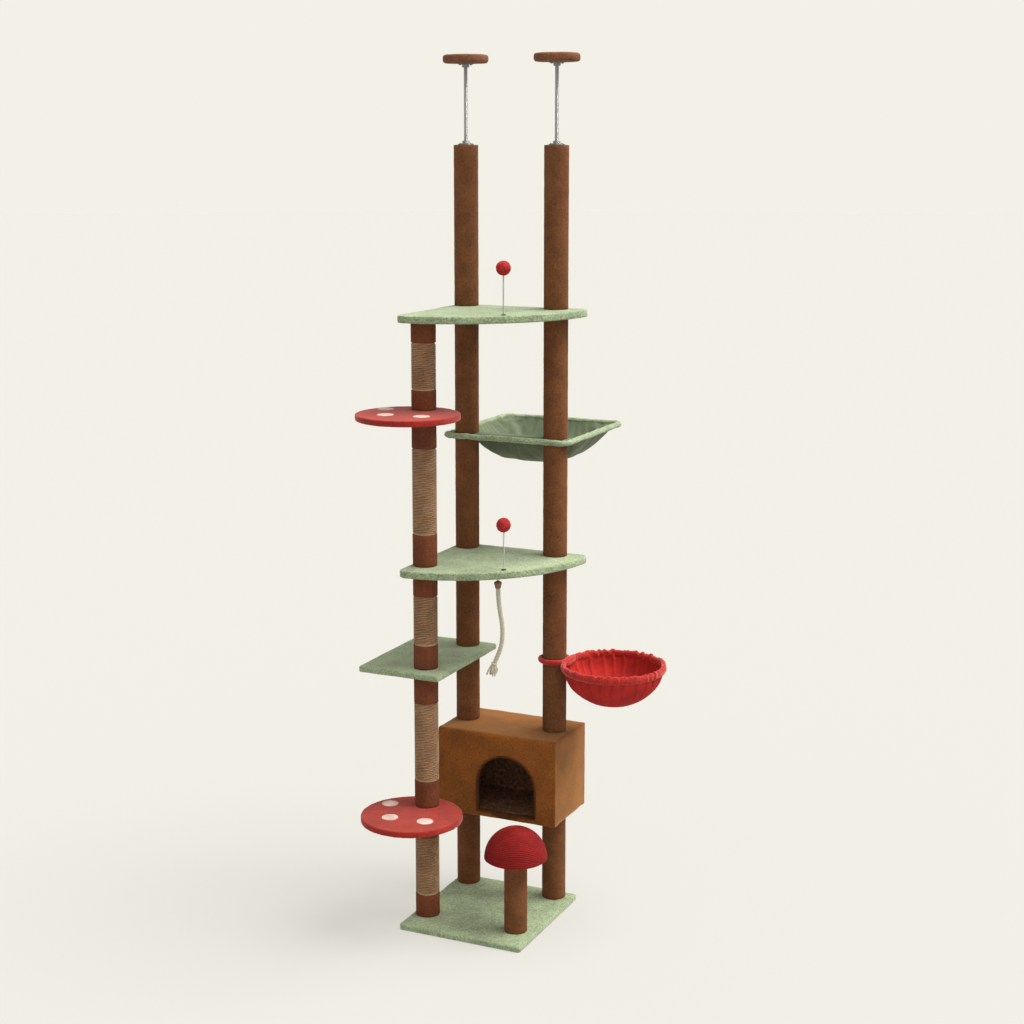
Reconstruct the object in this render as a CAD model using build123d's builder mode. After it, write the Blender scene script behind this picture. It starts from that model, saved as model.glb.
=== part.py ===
"""Floor-to-ceiling cat tree: four posts, shelves, a house, a hammock, a nest and two ceiling jacks.

Millimetres, +Z up.  Origin: centre of the base board, on its underside.
"""
import os
from math import cos, radians, sin, tan

from build123d import *

# ---- driving dimensions -----------------------------------------------------------------
BASE_WIDTH = 400.0
BASE_DEPTH = 434.0
BASE_TOP = 18.0
PLUSH = 3.0                     # pile fabric with its backing
LINER = 1.0                     # felt under the base
CORNER = 10.0

FRONT_POST = (-157.0, -108.0)   # scratching post
LEFT_POST = (-157.0, 177.0)
RIGHT_POST = (138.0, 177.0)
MUSHROOM = (138.0, -108.0)
POST_RADIUS = 36.5
TUBE_RADIUS = 33.5              # cardboard tube under the plush
TUBE_WALL = 4.0
STEM_RADIUS = 34.5
END_GAP = 0.2                   # slack each side of a plate that is clamped in a post
PLUG_HEIGHT = 20.0
STUD_RADIUS = 4.0

LOWER_DISC_TOP = 366.0
STEP_TOP = 796.0
MIDDLE_TOP = 1108.0
UPPER_DISC_TOP = 1573.0
TOP_SHELF_TOP = 1854.0
DISC_THICK = 18.0
STEP_THICK = 18.0
FAN_THICK = 22.0
POST_TOP = 2333.0
TOTAL_HEIGHT = 2596.0

FAN_CORNER = (-200.0, 223.0)    # square corner of the quarter-round shelves
FAN_RADIUS = 430.0
FAN_TIP = 27.0                  # corner rounding
DISC_RADIUS = 152.0
DISC_CENTRE = (-162.0, -198.0)
SPOT_RADIUS = 24.5
SPOTS = [(-100.0, 50.0), (-45.0, -53.0), (65.0, -40.0)]
STEP_X = (-346.0, -77.0)
STEP_Y = (-185.0, 223.0)

HOUSE_X = (-200.0, 195.0)
HOUSE_Y = (53.0, 288.0)
HOUSE_Z = (290.0, 558.0)
PANEL = 12.0
DOOR_X = (-67.0, 128.0)
DOOR_TOP = 492.0

HAMMOCK_Z = 1460.0
HAMMOCK_X = (-220.0, 200.0)
HAMMOCK_Y = (124.0, 583.0)
HAMMOCK_ROD = 4.0
HAMMOCK_SAG = 80.0
SLEEVE = 8.0                    # half width of the fabric sleeve on the rod

NEST_Z = 783.0
NEST_REACH = 193.0              # right post to the middle of the nest
NEST_RADIUS = 160.0
NEST_DEPTH = 122.0
LOOP_RADIUS = 43.0              # rod loop round the right post
NEST_ROD = 4.0

CAP_RADIUS = 94.0
CAP_LOW = 244.0
CAP_HEIGHT = 97.0
WINDING = 5.0

TOY_FOOT = (80.0, -67.0)
BALL_RADIUS = 22.0
BALL_HEIGHT = 134.0             # shelf top to ball centre
SPRING_RADIUS = 2.5

ROPE_RADIUS = 7.0
ROPE_X, ROPE_Y = 65.0, -74.0
# height and sideways swing of each point of the hanging rope
ROPE_ROUTE = [(1064, 0), (1030, 0.5), (988, 5), (936, 14), (886, 12), (850, 0), (821, -13)]
SWING_WAY = (0.908, 0.419)      # the way the rope curls, seen from above
TASSEL_LOW = (785, -17)

ROD_RADIUS = 6.0
ROD_BELOW = 200.0               # rod inside the post
PAD_RADIUS = 68.0
PAD_THICK = 25.0
FLANGE_RADIUS = 24.0
FLANGE_THICK = 3.0

# post sections, bottom to top: (low, high)
STEP_LOW = STEP_TOP - STEP_THICK
MIDDLE_LOW = MIDDLE_TOP - FAN_THICK
TOP_SHELF_LOW = TOP_SHELF_TOP - FAN_THICK
PLATE = 3.0                     # clamped steel of hammock and nest
HAMMOCK_CUT = (HAMMOCK_Z - PLATE / 2, HAMMOCK_Z + PLATE / 2)
NEST_CUT = (NEST_Z - PLATE / 2 - END_GAP, NEST_Z + PLATE / 2 + END_GAP)
FRONT_SECTIONS = [
    (BASE_TOP, LOWER_DISC_TOP - DISC_THICK),
    (LOWER_DISC_TOP, STEP_LOW),
    (STEP_TOP, MIDDLE_LOW),
    (MIDDLE_TOP, UPPER_DISC_TOP - DISC_THICK),
    (UPPER_DISC_TOP, TOP_SHELF_LOW),
]
SISAL_BANDS = [(88.0, 271.0), (448.0, 689.0), (868.0, 1017.0), (1204.0, 1460.0), (1632.0, 1770.0)]
LEFT_SECTIONS = [
    (BASE_TOP, HOUSE_Z[0]),
    (HOUSE_Z[1], STEP_LOW),
    (STEP_TOP, MIDDLE_LOW),
    (MIDDLE_TOP, HAMMOCK_CUT[0]),
    (HAMMOCK_CUT[1], TOP_SHELF_LOW),
    (TOP_SHELF_TOP, POST_TOP),
]
RIGHT_SECTIONS = [
    (BASE_TOP, HOUSE_Z[0]),
    (HOUSE_Z[1], NEST_CUT[0]),
    (NEST_CUT[1], MIDDLE_LOW),
    (MIDDLE_TOP, HAMMOCK_CUT[0]),
    (HAMMOCK_CUT[1], TOP_SHELF_LOW),
    (TOP_SHELF_TOP, POST_TOP),
]
STEM_SECTIONS = [(BASE_TOP, CAP_LOW)]
POSTS = [
    (FRONT_POST, FRONT_SECTIONS),
    (LEFT_POST, LEFT_SECTIONS),
    (RIGHT_POST, RIGHT_SECTIONS),
    (MUSHROOM, STEM_SECTIONS),
]
STUD_HOLE = STUD_RADIUS + 0.5

os.makedirs("parts", exist_ok=True)


# ---- helpers ----------------------------------------------------------------------------
def save(builder, name):
    """Label a finished piece and write it as a STEP file of that name."""
    builder.part.label = name
    export_step(builder.part, f"parts/{name}.step")


def rod(centre, low, high, radius):
    """A round bar standing at centre, in the part being built."""
    with BuildSketch(Plane.XY.offset(low)) as section:
        with Locations(centre):
            Circle(radius)
    extrude(section.sketch, amount=high - low)


def drill(centres, low, high, radius):
    """Cut an upright hole at each centre."""
    with BuildSketch(Plane.XY.offset(low)) as section:
        with Locations(*centres):
            Circle(radius)
    extrude(section.sketch, amount=high - low, mode=Mode.SUBTRACT)


def tube(centre, low, high, outer, inner):
    """An upright tube at centre."""
    with BuildSketch(Plane.XY.offset(low)) as section:
        with Locations(centre):
            Circle(outer)
            Circle(inner, mode=Mode.SUBTRACT)
    extrude(section.sketch, amount=high - low)


def block(x_span, y_span, z_span, mode=Mode.ADD):
    """A box between pairs of limits."""
    with BuildSketch(Plane.XY.offset(z_span[0])) as section:
        with Locations(((x_span[0] + x_span[1]) / 2, (y_span[0] + y_span[1]) / 2)):
            Rectangle(x_span[1] - x_span[0], y_span[1] - y_span[0])
    extrude(section.sketch, amount=z_span[1] - z_span[0], mode=mode)


def grown(span, amount):
    """The limits moved outwards by amount."""
    return (span[0] - amount, span[1] + amount)


def rounded_plate(x_span, y_span, z_span, corner, mode=Mode.ADD):
    """A plate with rounded corners between pairs of limits."""
    with BuildSketch(Plane.XY.offset(z_span[0])) as section:
        with Locations(((x_span[0] + x_span[1]) / 2, (y_span[0] + y_span[1]) / 2)):
            RectangleRounded(x_span[1] - x_span[0], y_span[1] - y_span[0], corner)
    extrude(section.sketch, amount=z_span[1] - z_span[0], mode=mode)


def fan_plate(low, high, inset, mode=Mode.ADD):
    """A quarter-round shelf with rounded tips, drawn in by inset all round."""
    with BuildSketch(Plane.XY.offset(low)) as fan:
        with Locations(FAN_CORNER):
            Circle(FAN_RADIUS)
            Rectangle(FAN_RADIUS, FAN_RADIUS, align=(Align.MIN, Align.MAX), mode=Mode.INTERSECT)
        fillet(fan.vertices(), FAN_TIP)
        if inset:
            offset(amount=-inset, mode=Mode.REPLACE)
    extrude(fan.sketch, amount=high - low, mode=mode)


def disc_plate(low, high, inset, mode=Mode.ADD):
    """A round step on the scratching post."""
    with BuildSketch(Plane.XY.offset(low)) as section:
        with Locations(DISC_CENTRE):
            Circle(DISC_RADIUS - inset)
    extrude(section.sketch, amount=high - low, mode=mode)


def step_plate(low, high, inset, mode=Mode.ADD):
    """The side step."""
    rounded_plate(grown(STEP_X, -inset), grown(STEP_Y, -inset), (low, high), CORNER - inset, mode)


def dome(radius, height, low, mode=Mode.ADD):
    """A half ball on a short straight rim, over the mushroom's stem."""
    upright = Plane(origin=(*MUSHROOM, 0), x_dir=(1, 0, 0), z_dir=(0, -1, 0))
    with BuildSketch(upright) as section:
        with BuildLine():
            Line((0, low + height), (0, low))
            Line((0, low), (radius, low))
            Line((radius, low), (radius, low + height - radius))
            CenterArc((0, low + height - radius), radius, 0, 90)
        make_face()
    revolve(section.sketch, axis=Axis((*MUSHROOM, 0), (0, 0, 1)), mode=mode)


# ---- base -------------------------------------------------------------------------------
base_x = (-BASE_WIDTH / 2, BASE_WIDTH / 2)
base_y = (-BASE_DEPTH / 2, BASE_DEPTH / 2)
post_places = [place for place, sections in POSTS]
HEAD_RADIUS = 7.5
HEAD_HEIGHT = 5.5
RECESS = 9.0

with BuildPart() as base_board:
    rounded_plate(grown(base_x, -PLUSH), grown(base_y, -PLUSH), (LINER, BASE_TOP - PLUSH), CORNER - PLUSH)
    drill(post_places, 0, BASE_TOP, STUD_HOLE)
    drill(post_places, 0, LINER + HEAD_HEIGHT, RECESS)
save(base_board, "base_board")

with BuildPart() as base_plush:
    rounded_plate(base_x, base_y, (0, BASE_TOP), CORNER)
    rounded_plate(
        grown(base_x, -PLUSH), grown(base_y, -PLUSH), (0, BASE_TOP - PLUSH), CORNER - PLUSH, Mode.SUBTRACT
    )
    drill(post_places, 0, BASE_TOP, STUD_HOLE)
save(base_plush, "base_plush")

with BuildPart() as base_liner:
    rounded_plate(grown(base_x, -PLUSH), grown(base_y, -PLUSH), (0, LINER), CORNER - PLUSH)
    drill(post_places, 0, LINER, RECESS)
save(base_liner, "base_liner")

# ---- fasteners inside the tree -----------------------------------------------------------
house_in = (HOUSE_Z[0] + PLUSH + PANEL, HOUSE_Z[1] - PLUSH - PANEL)
WASHER = 1.5
WASHER_RADIUS = 12.0
with BuildPart() as panel_bolts:
    for place in post_places:
        rod(place, LINER, LINER + HEAD_HEIGHT, HEAD_RADIUS)
        rod(place, LINER, BASE_TOP + PLUG_HEIGHT, STUD_RADIUS)
    for place in (LEFT_POST, RIGHT_POST):
        rod(place, house_in[0], house_in[0] + WASHER, WASHER_RADIUS)
        rod(place, house_in[0], house_in[0] + WASHER + HEAD_HEIGHT, HEAD_RADIUS)
        rod(place, HOUSE_Z[0] - PLUG_HEIGHT, house_in[0] + WASHER, STUD_RADIUS)
        rod(place, house_in[1] - WASHER, house_in[1], WASHER_RADIUS)
        rod(place, house_in[1] - WASHER - HEAD_HEIGHT, house_in[1], HEAD_RADIUS)
        rod(place, house_in[1] - WASHER, HOUSE_Z[1] + PLUG_HEIGHT, STUD_RADIUS)
save(panel_bolts, "panel_bolts")

with BuildPart() as joining_studs:
    for place, sections in POSTS[:3]:
        for below, above in zip(sections, sections[1:]):
            if above[0] == HOUSE_Z[1]:
                continue
            rod(place, below[1] - PLUG_HEIGHT, above[0] + PLUG_HEIGHT, STUD_RADIUS)
    rod(FRONT_POST, TOP_SHELF_LOW - PLUG_HEIGHT, TOP_SHELF_TOP - PLUSH, STUD_RADIUS)
    rod(MUSHROOM, CAP_LOW - PLUG_HEIGHT, CAP_LOW + 40, STUD_RADIUS)
save(joining_studs, "joining_studs")

with BuildPart() as post_end_plugs:
    for place, sections in POSTS:
        for low, high in sections:
            plug_spans = [(low, low + PLUG_HEIGHT), (high - PLUG_HEIGHT, high)]
            for plug_low, plug_high in plug_spans:
                bore = ROD_RADIUS + 0.4 if high == POST_TOP and plug_high == high else STUD_RADIUS
                tube(place, plug_low, plug_high, TUBE_RADIUS - TUBE_WALL, bore)
save(post_end_plugs, "post_end_plugs")

with BuildPart() as post_tubes:
    for place, sections in POSTS:
        for low, high in sections:
            tube(place, low, high, TUBE_RADIUS, TUBE_RADIUS - TUBE_WALL)
save(post_tubes, "post_tubes")

# ---- post covers ------------------------------------------------------------------------
for number, (span, band) in enumerate(zip(FRONT_SECTIONS, SISAL_BANDS), 1):
    with BuildPart() as front_post_plush:
        tube(FRONT_POST, span[0], band[0], POST_RADIUS, TUBE_RADIUS)
        tube(FRONT_POST, band[1], span[1], POST_RADIUS, TUBE_RADIUS)
    save(front_post_plush, f"front_post_plush_{number}")

SISAL_RADIUS = POST_RADIUS - 0.5
with BuildPart() as front_post_sisal:
    for low, high in SISAL_BANDS:
        tube(FRONT_POST, low, high, SISAL_RADIUS, TUBE_RADIUS)
save(front_post_sisal, "front_post_sisal")

for number, (low, high) in enumerate(LEFT_SECTIONS, 1):
    with BuildPart() as left_post_plush:
        tube(LEFT_POST, low, high, POST_RADIUS, TUBE_RADIUS)
    save(left_post_plush, f"left_post_plush_{number}")

for number, (low, high) in enumerate(RIGHT_SECTIONS, 1):
    with BuildPart() as right_post_plush:
        tube(RIGHT_POST, low, high, POST_RADIUS, TUBE_RADIUS)
    save(right_post_plush, f"right_post_plush_{number}")

# ---- mushroom ----------------------------------------------------------------------------
with BuildPart() as mushroom_stem_plush:
    tube(MUSHROOM, BASE_TOP, CAP_LOW, STEM_RADIUS, TUBE_RADIUS)
save(mushroom_stem_plush, "mushroom_stem_plush")

with BuildPart() as mushroom_cap_core:
    dome(CAP_RADIUS - WINDING, CAP_HEIGHT - WINDING, CAP_LOW)
    drill([MUSHROOM], CAP_LOW, CAP_LOW + 40, STUD_RADIUS)
save(mushroom_cap_core, "mushroom_cap_core")

with BuildPart() as mushroom_cap_winding:
    dome(CAP_RADIUS, CAP_HEIGHT, CAP_LOW)
    dome(CAP_RADIUS - WINDING, CAP_HEIGHT - WINDING, CAP_LOW, Mode.SUBTRACT)
save(mushroom_cap_winding, "mushroom_cap_winding")

# ---- shelves and discs -------------------------------------------------------------------
SOCKET_DEPTH = 8.0
SOCKET_RADIUS = 4.5
shelf_studs = [FRONT_POST, LEFT_POST, RIGHT_POST]
with BuildPart() as shelf_boards:
    for top in (MIDDLE_TOP, TOP_SHELF_TOP):
        fan_plate(top - FAN_THICK + PLUSH, top - PLUSH, PLUSH)
        drill(shelf_studs, top - FAN_THICK, top, STUD_RADIUS)
        drill([TOY_FOOT], top - SOCKET_DEPTH - PLUSH, top, SOCKET_RADIUS)
    step_plate(STEP_LOW + PLUSH, STEP_TOP - PLUSH, PLUSH)
    drill([FRONT_POST, LEFT_POST], STEP_LOW, STEP_TOP, STUD_RADIUS)
    for top in (LOWER_DISC_TOP, UPPER_DISC_TOP):
        disc_plate(top - DISC_THICK + PLUSH, top - PLUSH, PLUSH)
        drill([FRONT_POST], top - DISC_THICK, top, STUD_RADIUS)
save(shelf_boards, "shelf_boards")


def covering(plate, top, thick, studs):
    """Pile fabric wrapped round a whole board."""
    plate(top - thick, top, 0)
    plate(top - thick + PLUSH, top - PLUSH, PLUSH, Mode.SUBTRACT)
    drill(studs, top - thick, top, STUD_RADIUS)


EYE_SHANK = 1.6
with BuildPart() as middle_shelf_plush:
    covering(fan_plate, MIDDLE_TOP, FAN_THICK, shelf_studs)
    drill([TOY_FOOT], MIDDLE_TOP - PLUSH, MIDDLE_TOP, SOCKET_RADIUS)
    drill([(ROPE_X, ROPE_Y)], MIDDLE_LOW, MIDDLE_LOW + PLUSH, EYE_SHANK)
save(middle_shelf_plush, "middle_shelf_plush")

with BuildPart() as top_shelf_plush:
    covering(fan_plate, TOP_SHELF_TOP, FAN_THICK, shelf_studs[1:])
    drill([FRONT_POST], TOP_SHELF_LOW, TOP_SHELF_LOW + PLUSH, STUD_RADIUS)
    drill([TOY_FOOT], TOP_SHELF_TOP - PLUSH, TOP_SHELF_TOP, SOCKET_RADIUS)
save(top_shelf_plush, "top_shelf_plush")

with BuildPart() as side_step_plush:
    covering(step_plate, STEP_TOP, STEP_THICK, [FRONT_POST, LEFT_POST])
save(side_step_plush, "side_step_plush")

with BuildPart() as lower_disc_plush:
    covering(disc_plate, LOWER_DISC_TOP, DISC_THICK, [FRONT_POST])
save(lower_disc_plush, "lower_disc_plush")

with BuildPart() as upper_disc_plush:
    covering(disc_plate, UPPER_DISC_TOP, DISC_THICK, [FRONT_POST])
save(upper_disc_plush, "upper_disc_plush")

SPOT_THICK = 1.5
with BuildPart() as disc_spots:
    for top in (LOWER_DISC_TOP, UPPER_DISC_TOP):
        for across, along in SPOTS:
            rod((DISC_CENTRE[0] + across, DISC_CENTRE[1] + along), top, top + SPOT_THICK, SPOT_RADIUS)
save(disc_spots, "disc_spots")

# ---- house --------------------------------------------------------------------------------
panels_x = grown(HOUSE_X, -PLUSH)
panels_y = grown(HOUSE_Y, -PLUSH)
panels_z = grown(HOUSE_Z, -PLUSH)
room_x = grown(panels_x, -PANEL)
room_y = grown(panels_y, -PANEL)
room_z = grown(panels_z, -PANEL)
LINING = 3.0
door_radius = (DOOR_X[1] - DOOR_X[0]) / 2
door_middle = (DOOR_X[0] + DOOR_X[1]) / 2
door_low = room_z[0] + LINING


def doorway(front, back, low):
    """Cut the round-topped door through everything between two depths."""
    with BuildSketch(Plane.XZ.offset(-back)) as section:
        with Locations((door_middle, (low + DOOR_TOP - door_radius) / 2)):
            Rectangle(2 * door_radius, DOOR_TOP - door_radius - low)
        with Locations((door_middle, DOOR_TOP - door_radius)):
            Circle(door_radius)
    extrude(section.sketch, amount=back - front, mode=Mode.SUBTRACT)


with BuildPart() as condo_front_panel:
    block(panels_x, (panels_y[0], room_y[0]), panels_z)
    doorway(panels_y[0], room_y[0], door_low)
save(condo_front_panel, "condo_front_panel")

with BuildPart() as condo_panels:
    block(panels_x, (room_y[1], panels_y[1]), panels_z)
    for side in ((panels_x[0], room_x[0]), (room_x[1], panels_x[1])):
        block(side, room_y, panels_z)
    for level in ((panels_z[0], room_z[0]), (room_z[1], panels_z[1])):
        block(room_x, room_y, level)
    drill([LEFT_POST, RIGHT_POST], *panels_z, STUD_RADIUS)
save(condo_panels, "condo_panels")

with BuildPart() as condo_plush_cover:
    rounded_plate(HOUSE_X, HOUSE_Y, HOUSE_Z, PLUSH)
    block(panels_x, panels_y, panels_z, Mode.SUBTRACT)
    doorway(HOUSE_Y[0], panels_y[0], door_low)
    drill([LEFT_POST, RIGHT_POST], *HOUSE_Z, STUD_RADIUS)
save(condo_plush_cover, "condo_plush_cover")

with BuildPart() as condo_lining:
    block(room_x, room_y, room_z)
    block(grown(room_x, -LINING), grown(room_y, -LINING), grown(room_z, -LINING), Mode.SUBTRACT)
    doorway(room_y[0], room_y[0] + LINING, door_low)
    drill([LEFT_POST, RIGHT_POST], *room_z, WASHER_RADIUS)
save(condo_lining, "condo_lining")

# ---- hammock ------------------------------------------------------------------------------
FRAME_CORNER = 24.0
rod_x = grown(HAMMOCK_X, -SLEEVE)
rod_y = grown(HAMMOCK_Y, -SLEEVE)
BAR_WIDTH = 24.0
bar_y = (LEFT_POST[1] - BAR_WIDTH / 2, LEFT_POST[1] + BAR_WIDTH / 2)
with BuildPart() as hammock_frame:
    rounded_plate(
        grown(rod_x, HAMMOCK_ROD), grown(rod_y, HAMMOCK_ROD),
        grown((HAMMOCK_Z, HAMMOCK_Z), HAMMOCK_ROD), FRAME_CORNER + HAMMOCK_ROD,
    )
    rounded_plate(
        grown(rod_x, -HAMMOCK_ROD), grown(rod_y, -HAMMOCK_ROD),
        grown((HAMMOCK_Z, HAMMOCK_Z), HAMMOCK_ROD), FRAME_CORNER - HAMMOCK_ROD, Mode.SUBTRACT,
    )
    block(rod_x, bar_y, HAMMOCK_CUT)
    drill([LEFT_POST, RIGHT_POST], *HAMMOCK_CUT, STUD_RADIUS)
save(hammock_frame, "hammock_frame")

# the bag hangs behind the posts; in front of it a flat strip of cloth runs to the front rail
CLOTH = 4.0
BAG_FRONT = LEFT_POST[1] + POST_RADIUS + 8.0
bag_x = grown(HAMMOCK_X, -2 * SLEEVE)
bag_y = (BAG_FRONT, HAMMOCK_Y[1] - 2 * SLEEVE)
BAG_TAPER = 108.0


def bag(drawn_in, low, high, mode=Mode.ADD):
    """The sagging pocket: a tapered block that is wide at its mouth."""
    middle = ((bag_x[0] + bag_x[1]) / 2, (bag_y[0] + bag_y[1]) / 2)
    wide = (bag_x[1] - bag_x[0] - 2 * drawn_in, bag_y[1] - bag_y[0] - 2 * drawn_in)
    with BuildSketch(Plane.XY.offset(high)) as mouth:
        with Locations(middle):
            RectangleRounded(*wide, 30 - drawn_in)
    with BuildSketch(Plane.XY.offset(low)) as floor:
        with Locations(middle):
            RectangleRounded(wide[0] - 2 * BAG_TAPER, wide[1] - 2 * BAG_TAPER, 60 - drawn_in)
    loft([mouth.sketch, floor.sketch], mode=mode)


sleeve_z = grown((HAMMOCK_Z, HAMMOCK_Z), SLEEVE)
with BuildPart() as hammock_sling:
    rounded_plate(HAMMOCK_X, HAMMOCK_Y, sleeve_z, FRAME_CORNER + SLEEVE)
    rounded_plate(bag_x, grown(HAMMOCK_Y, -2 * SLEEVE), sleeve_z, FRAME_CORNER - SLEEVE, Mode.SUBTRACT)
    rounded_plate(
        grown(bag_x, 1), (HAMMOCK_Y[0] + 2 * SLEEVE - 1, BAG_FRONT + CLOTH),
        (HAMMOCK_CUT[0] - CLOTH, HAMMOCK_CUT[0]), 8,
    )
    bag(-1.0, HAMMOCK_Z - HAMMOCK_SAG, HAMMOCK_CUT[0])
    bag(CLOTH, HAMMOCK_Z - HAMMOCK_SAG + CLOTH, HAMMOCK_Z + SLEEVE, Mode.SUBTRACT)
    rounded_plate(
        grown(rod_x, HAMMOCK_ROD), grown(rod_y, HAMMOCK_ROD),
        grown((HAMMOCK_Z, HAMMOCK_Z), HAMMOCK_ROD), FRAME_CORNER + HAMMOCK_ROD, Mode.SUBTRACT,
    )
    drill([LEFT_POST, RIGHT_POST], HAMMOCK_Z - 3 * SLEEVE, HAMMOCK_Z + 3 * SLEEVE, POST_RADIUS + 0.5)
save(hammock_sling, "hammock_sling")

print("hammock sling solids", len(hammock_sling.solids()))

# ---- nest ---------------------------------------------------------------------------------
nest_middle = (RIGHT_POST[0] + NEST_REACH, RIGHT_POST[1])
ring_radius = NEST_RADIUS - SLEEVE
plate_z = grown((NEST_Z, NEST_Z), PLATE / 2)
with BuildPart() as nest_ring:
    with Locations((*nest_middle, NEST_Z)):
        Torus(ring_radius, NEST_ROD)
    with Locations((*RIGHT_POST, NEST_Z)):
        Torus(LOOP_RADIUS, NEST_ROD)
    rod(RIGHT_POST, *plate_z, LOOP_RADIUS)
    drill([RIGHT_POST], *plate_z, STUD_HOLE)
save(nest_ring, "nest_ring")

nest_section = Plane(origin=(*nest_middle, 0), x_dir=(0, 1, 0), z_dir=(1, 0, 0))
nest_axis = Axis((*nest_middle, 0), (0, 0, 1))
NEST_CLOTH = 6.0
with BuildPart() as nest_bowl:
    with BuildSketch(nest_section):
        with BuildLine():
            Line((0, NEST_Z - NEST_DEPTH), (0, NEST_Z - NEST_DEPTH + NEST_CLOTH))
            Spline(
                (0, NEST_Z - NEST_DEPTH + NEST_CLOTH), (95, NEST_Z - 86), (ring_radius - SLEEVE, NEST_Z),
                tangents=[(1, 0), (0.2, 1)],
            )
            Line((ring_radius - SLEEVE, NEST_Z), (ring_radius - SLEEVE, NEST_Z + SLEEVE))
            Line((ring_radius - SLEEVE, NEST_Z + SLEEVE), (NEST_RADIUS, NEST_Z + SLEEVE))
            Line((NEST_RADIUS, NEST_Z + SLEEVE), (NEST_RADIUS, NEST_Z - SLEEVE))
            Spline(
                (NEST_RADIUS, NEST_Z - SLEEVE), (102, NEST_Z - 91), (0, NEST_Z - NEST_DEPTH),
                tangents=[(-0.2, -1), (-1, 0)],
            )
        make_face()
    revolve(axis=nest_axis)
    with Locations((*nest_middle, NEST_Z)):
        Torus(ring_radius, NEST_ROD, mode=Mode.SUBTRACT)
    drill([RIGHT_POST], NEST_Z - NEST_DEPTH, NEST_Z + 2 * SLEEVE, LOOP_RADIUS + NEST_ROD)
save(nest_bowl, "nest_bowl")

# ---- spring toys --------------------------------------------------------------------------
SOCKET_LIP = 2.0
with BuildPart() as toy_sockets:
    for top in (MIDDLE_TOP, TOP_SHELF_TOP):
        tube(TOY_FOOT, top - SOCKET_DEPTH - PLUSH, top, SOCKET_RADIUS, SPRING_RADIUS)
        tube(TOY_FOOT, top, top + SOCKET_LIP, 1.6 * SOCKET_RADIUS, SPRING_RADIUS)
save(toy_sockets, "toy_sockets")

for name, top in (("lower_toy", MIDDLE_TOP), ("upper_toy", TOP_SHELF_TOP)):
    grip = top + BALL_HEIGHT - BALL_RADIUS + 8
    with BuildPart() as toy_spring:
        rod(TOY_FOOT, top - SOCKET_DEPTH, grip, SPRING_RADIUS)
    save(toy_spring, f"{name}_spring")
    with BuildPart() as toy_ball:
        with Locations((*TOY_FOOT, top + BALL_HEIGHT)):
            Sphere(BALL_RADIUS)
        drill([TOY_FOOT], top, grip, SPRING_RADIUS)
    save(toy_ball, f"{name}_ball")

# ---- play rope ----------------------------------------------------------------------------
EYE_Z = 1079.0
EYE_RADIUS = 4.0


def rope_point(height, swing):
    """A point of the rope from its height and its sideways swing."""
    return Vector(ROPE_X + swing * SWING_WAY[0], ROPE_Y + swing * SWING_WAY[1], height)


route = [rope_point(height, swing) for height, swing in ROPE_ROUTE]
runs = [(after - before) for before, after in zip(route, route[1:])]
bends = []
for before, after in zip(runs, runs[1:]):
    turn = before.get_angle(after)
    bends.append(0.45 * min(before.length, after.length) / tan(radians(turn / 2)))
print("rope bend radii", [round(bend) for bend in bends])

with BuildPart() as play_rope:
    with BuildLine() as rope_path:
        FilletPolyline(*route, radius=bends)
    with BuildSketch(Plane(origin=route[0], z_dir=runs[0])):
        Circle(ROPE_RADIUS)
    sweep(path=rope_path.wires()[0])
save(play_rope, "play_rope")
rope_length = rope_path.wires()[0].length
print("rope length", round(rope_length, 1), "volume ratio",
      round(play_rope.part.volume / (Circle(ROPE_RADIUS).area * rope_length), 4))

tassel_end = rope_point(*TASSEL_LOW)
with BuildPart() as play_rope_tassel:
    with BuildSketch(Plane(origin=route[-1], z_dir=runs[-1])):
        Circle(ROPE_RADIUS)
    with BuildSketch(Plane(origin=tassel_end, z_dir=(0, 0, -1))):
        Circle(2 * ROPE_RADIUS)
    loft()
save(play_rope_tassel, "play_rope_tassel")

FERRULE_SECTION = [(0, 1075), (5, 1075), (12.5, 1069), (8.5, 1054), (7.3, 1054), (7.3, 1064), (0, 1064)]
with BuildPart() as rope_ferrule:
    with BuildSketch(Plane(origin=(ROPE_X, ROPE_Y, 0), x_dir=(1, 0, 0), z_dir=(0, -1, 0))):
        Polygon(*FERRULE_SECTION, align=None)
    revolve(axis=Axis((ROPE_X, ROPE_Y, 0), (0, 0, 1)))
save(rope_ferrule, "rope_ferrule")

# ---- ceiling jacks -------------------------------------------------------------------------
pad_low = TOTAL_HEIGHT - PAD_THICK
ROD_SLACK = 0.05
SCREW_PITCH_RADIUS = 17.0
with BuildPart() as jack_sockets:
    for place in (LEFT_POST, RIGHT_POST):
        tube(place, POST_TOP, POST_TOP + FLANGE_THICK, FLANGE_RADIUS, ROD_RADIUS + ROD_SLACK)
        tube(place, POST_TOP + FLANGE_THICK, POST_TOP + FLANGE_THICK + 10, 11, ROD_RADIUS + ROD_SLACK)
        for turn in (45, 135, 225, 315):
            screw = (place[0] + SCREW_PITCH_RADIUS * cos(radians(turn)),
                     place[1] + SCREW_PITCH_RADIUS * sin(radians(turn)))
            rod(screw, POST_TOP + FLANGE_THICK, POST_TOP + FLANGE_THICK + 2.5, 4)
save(jack_sockets, "jack_sockets")

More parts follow.
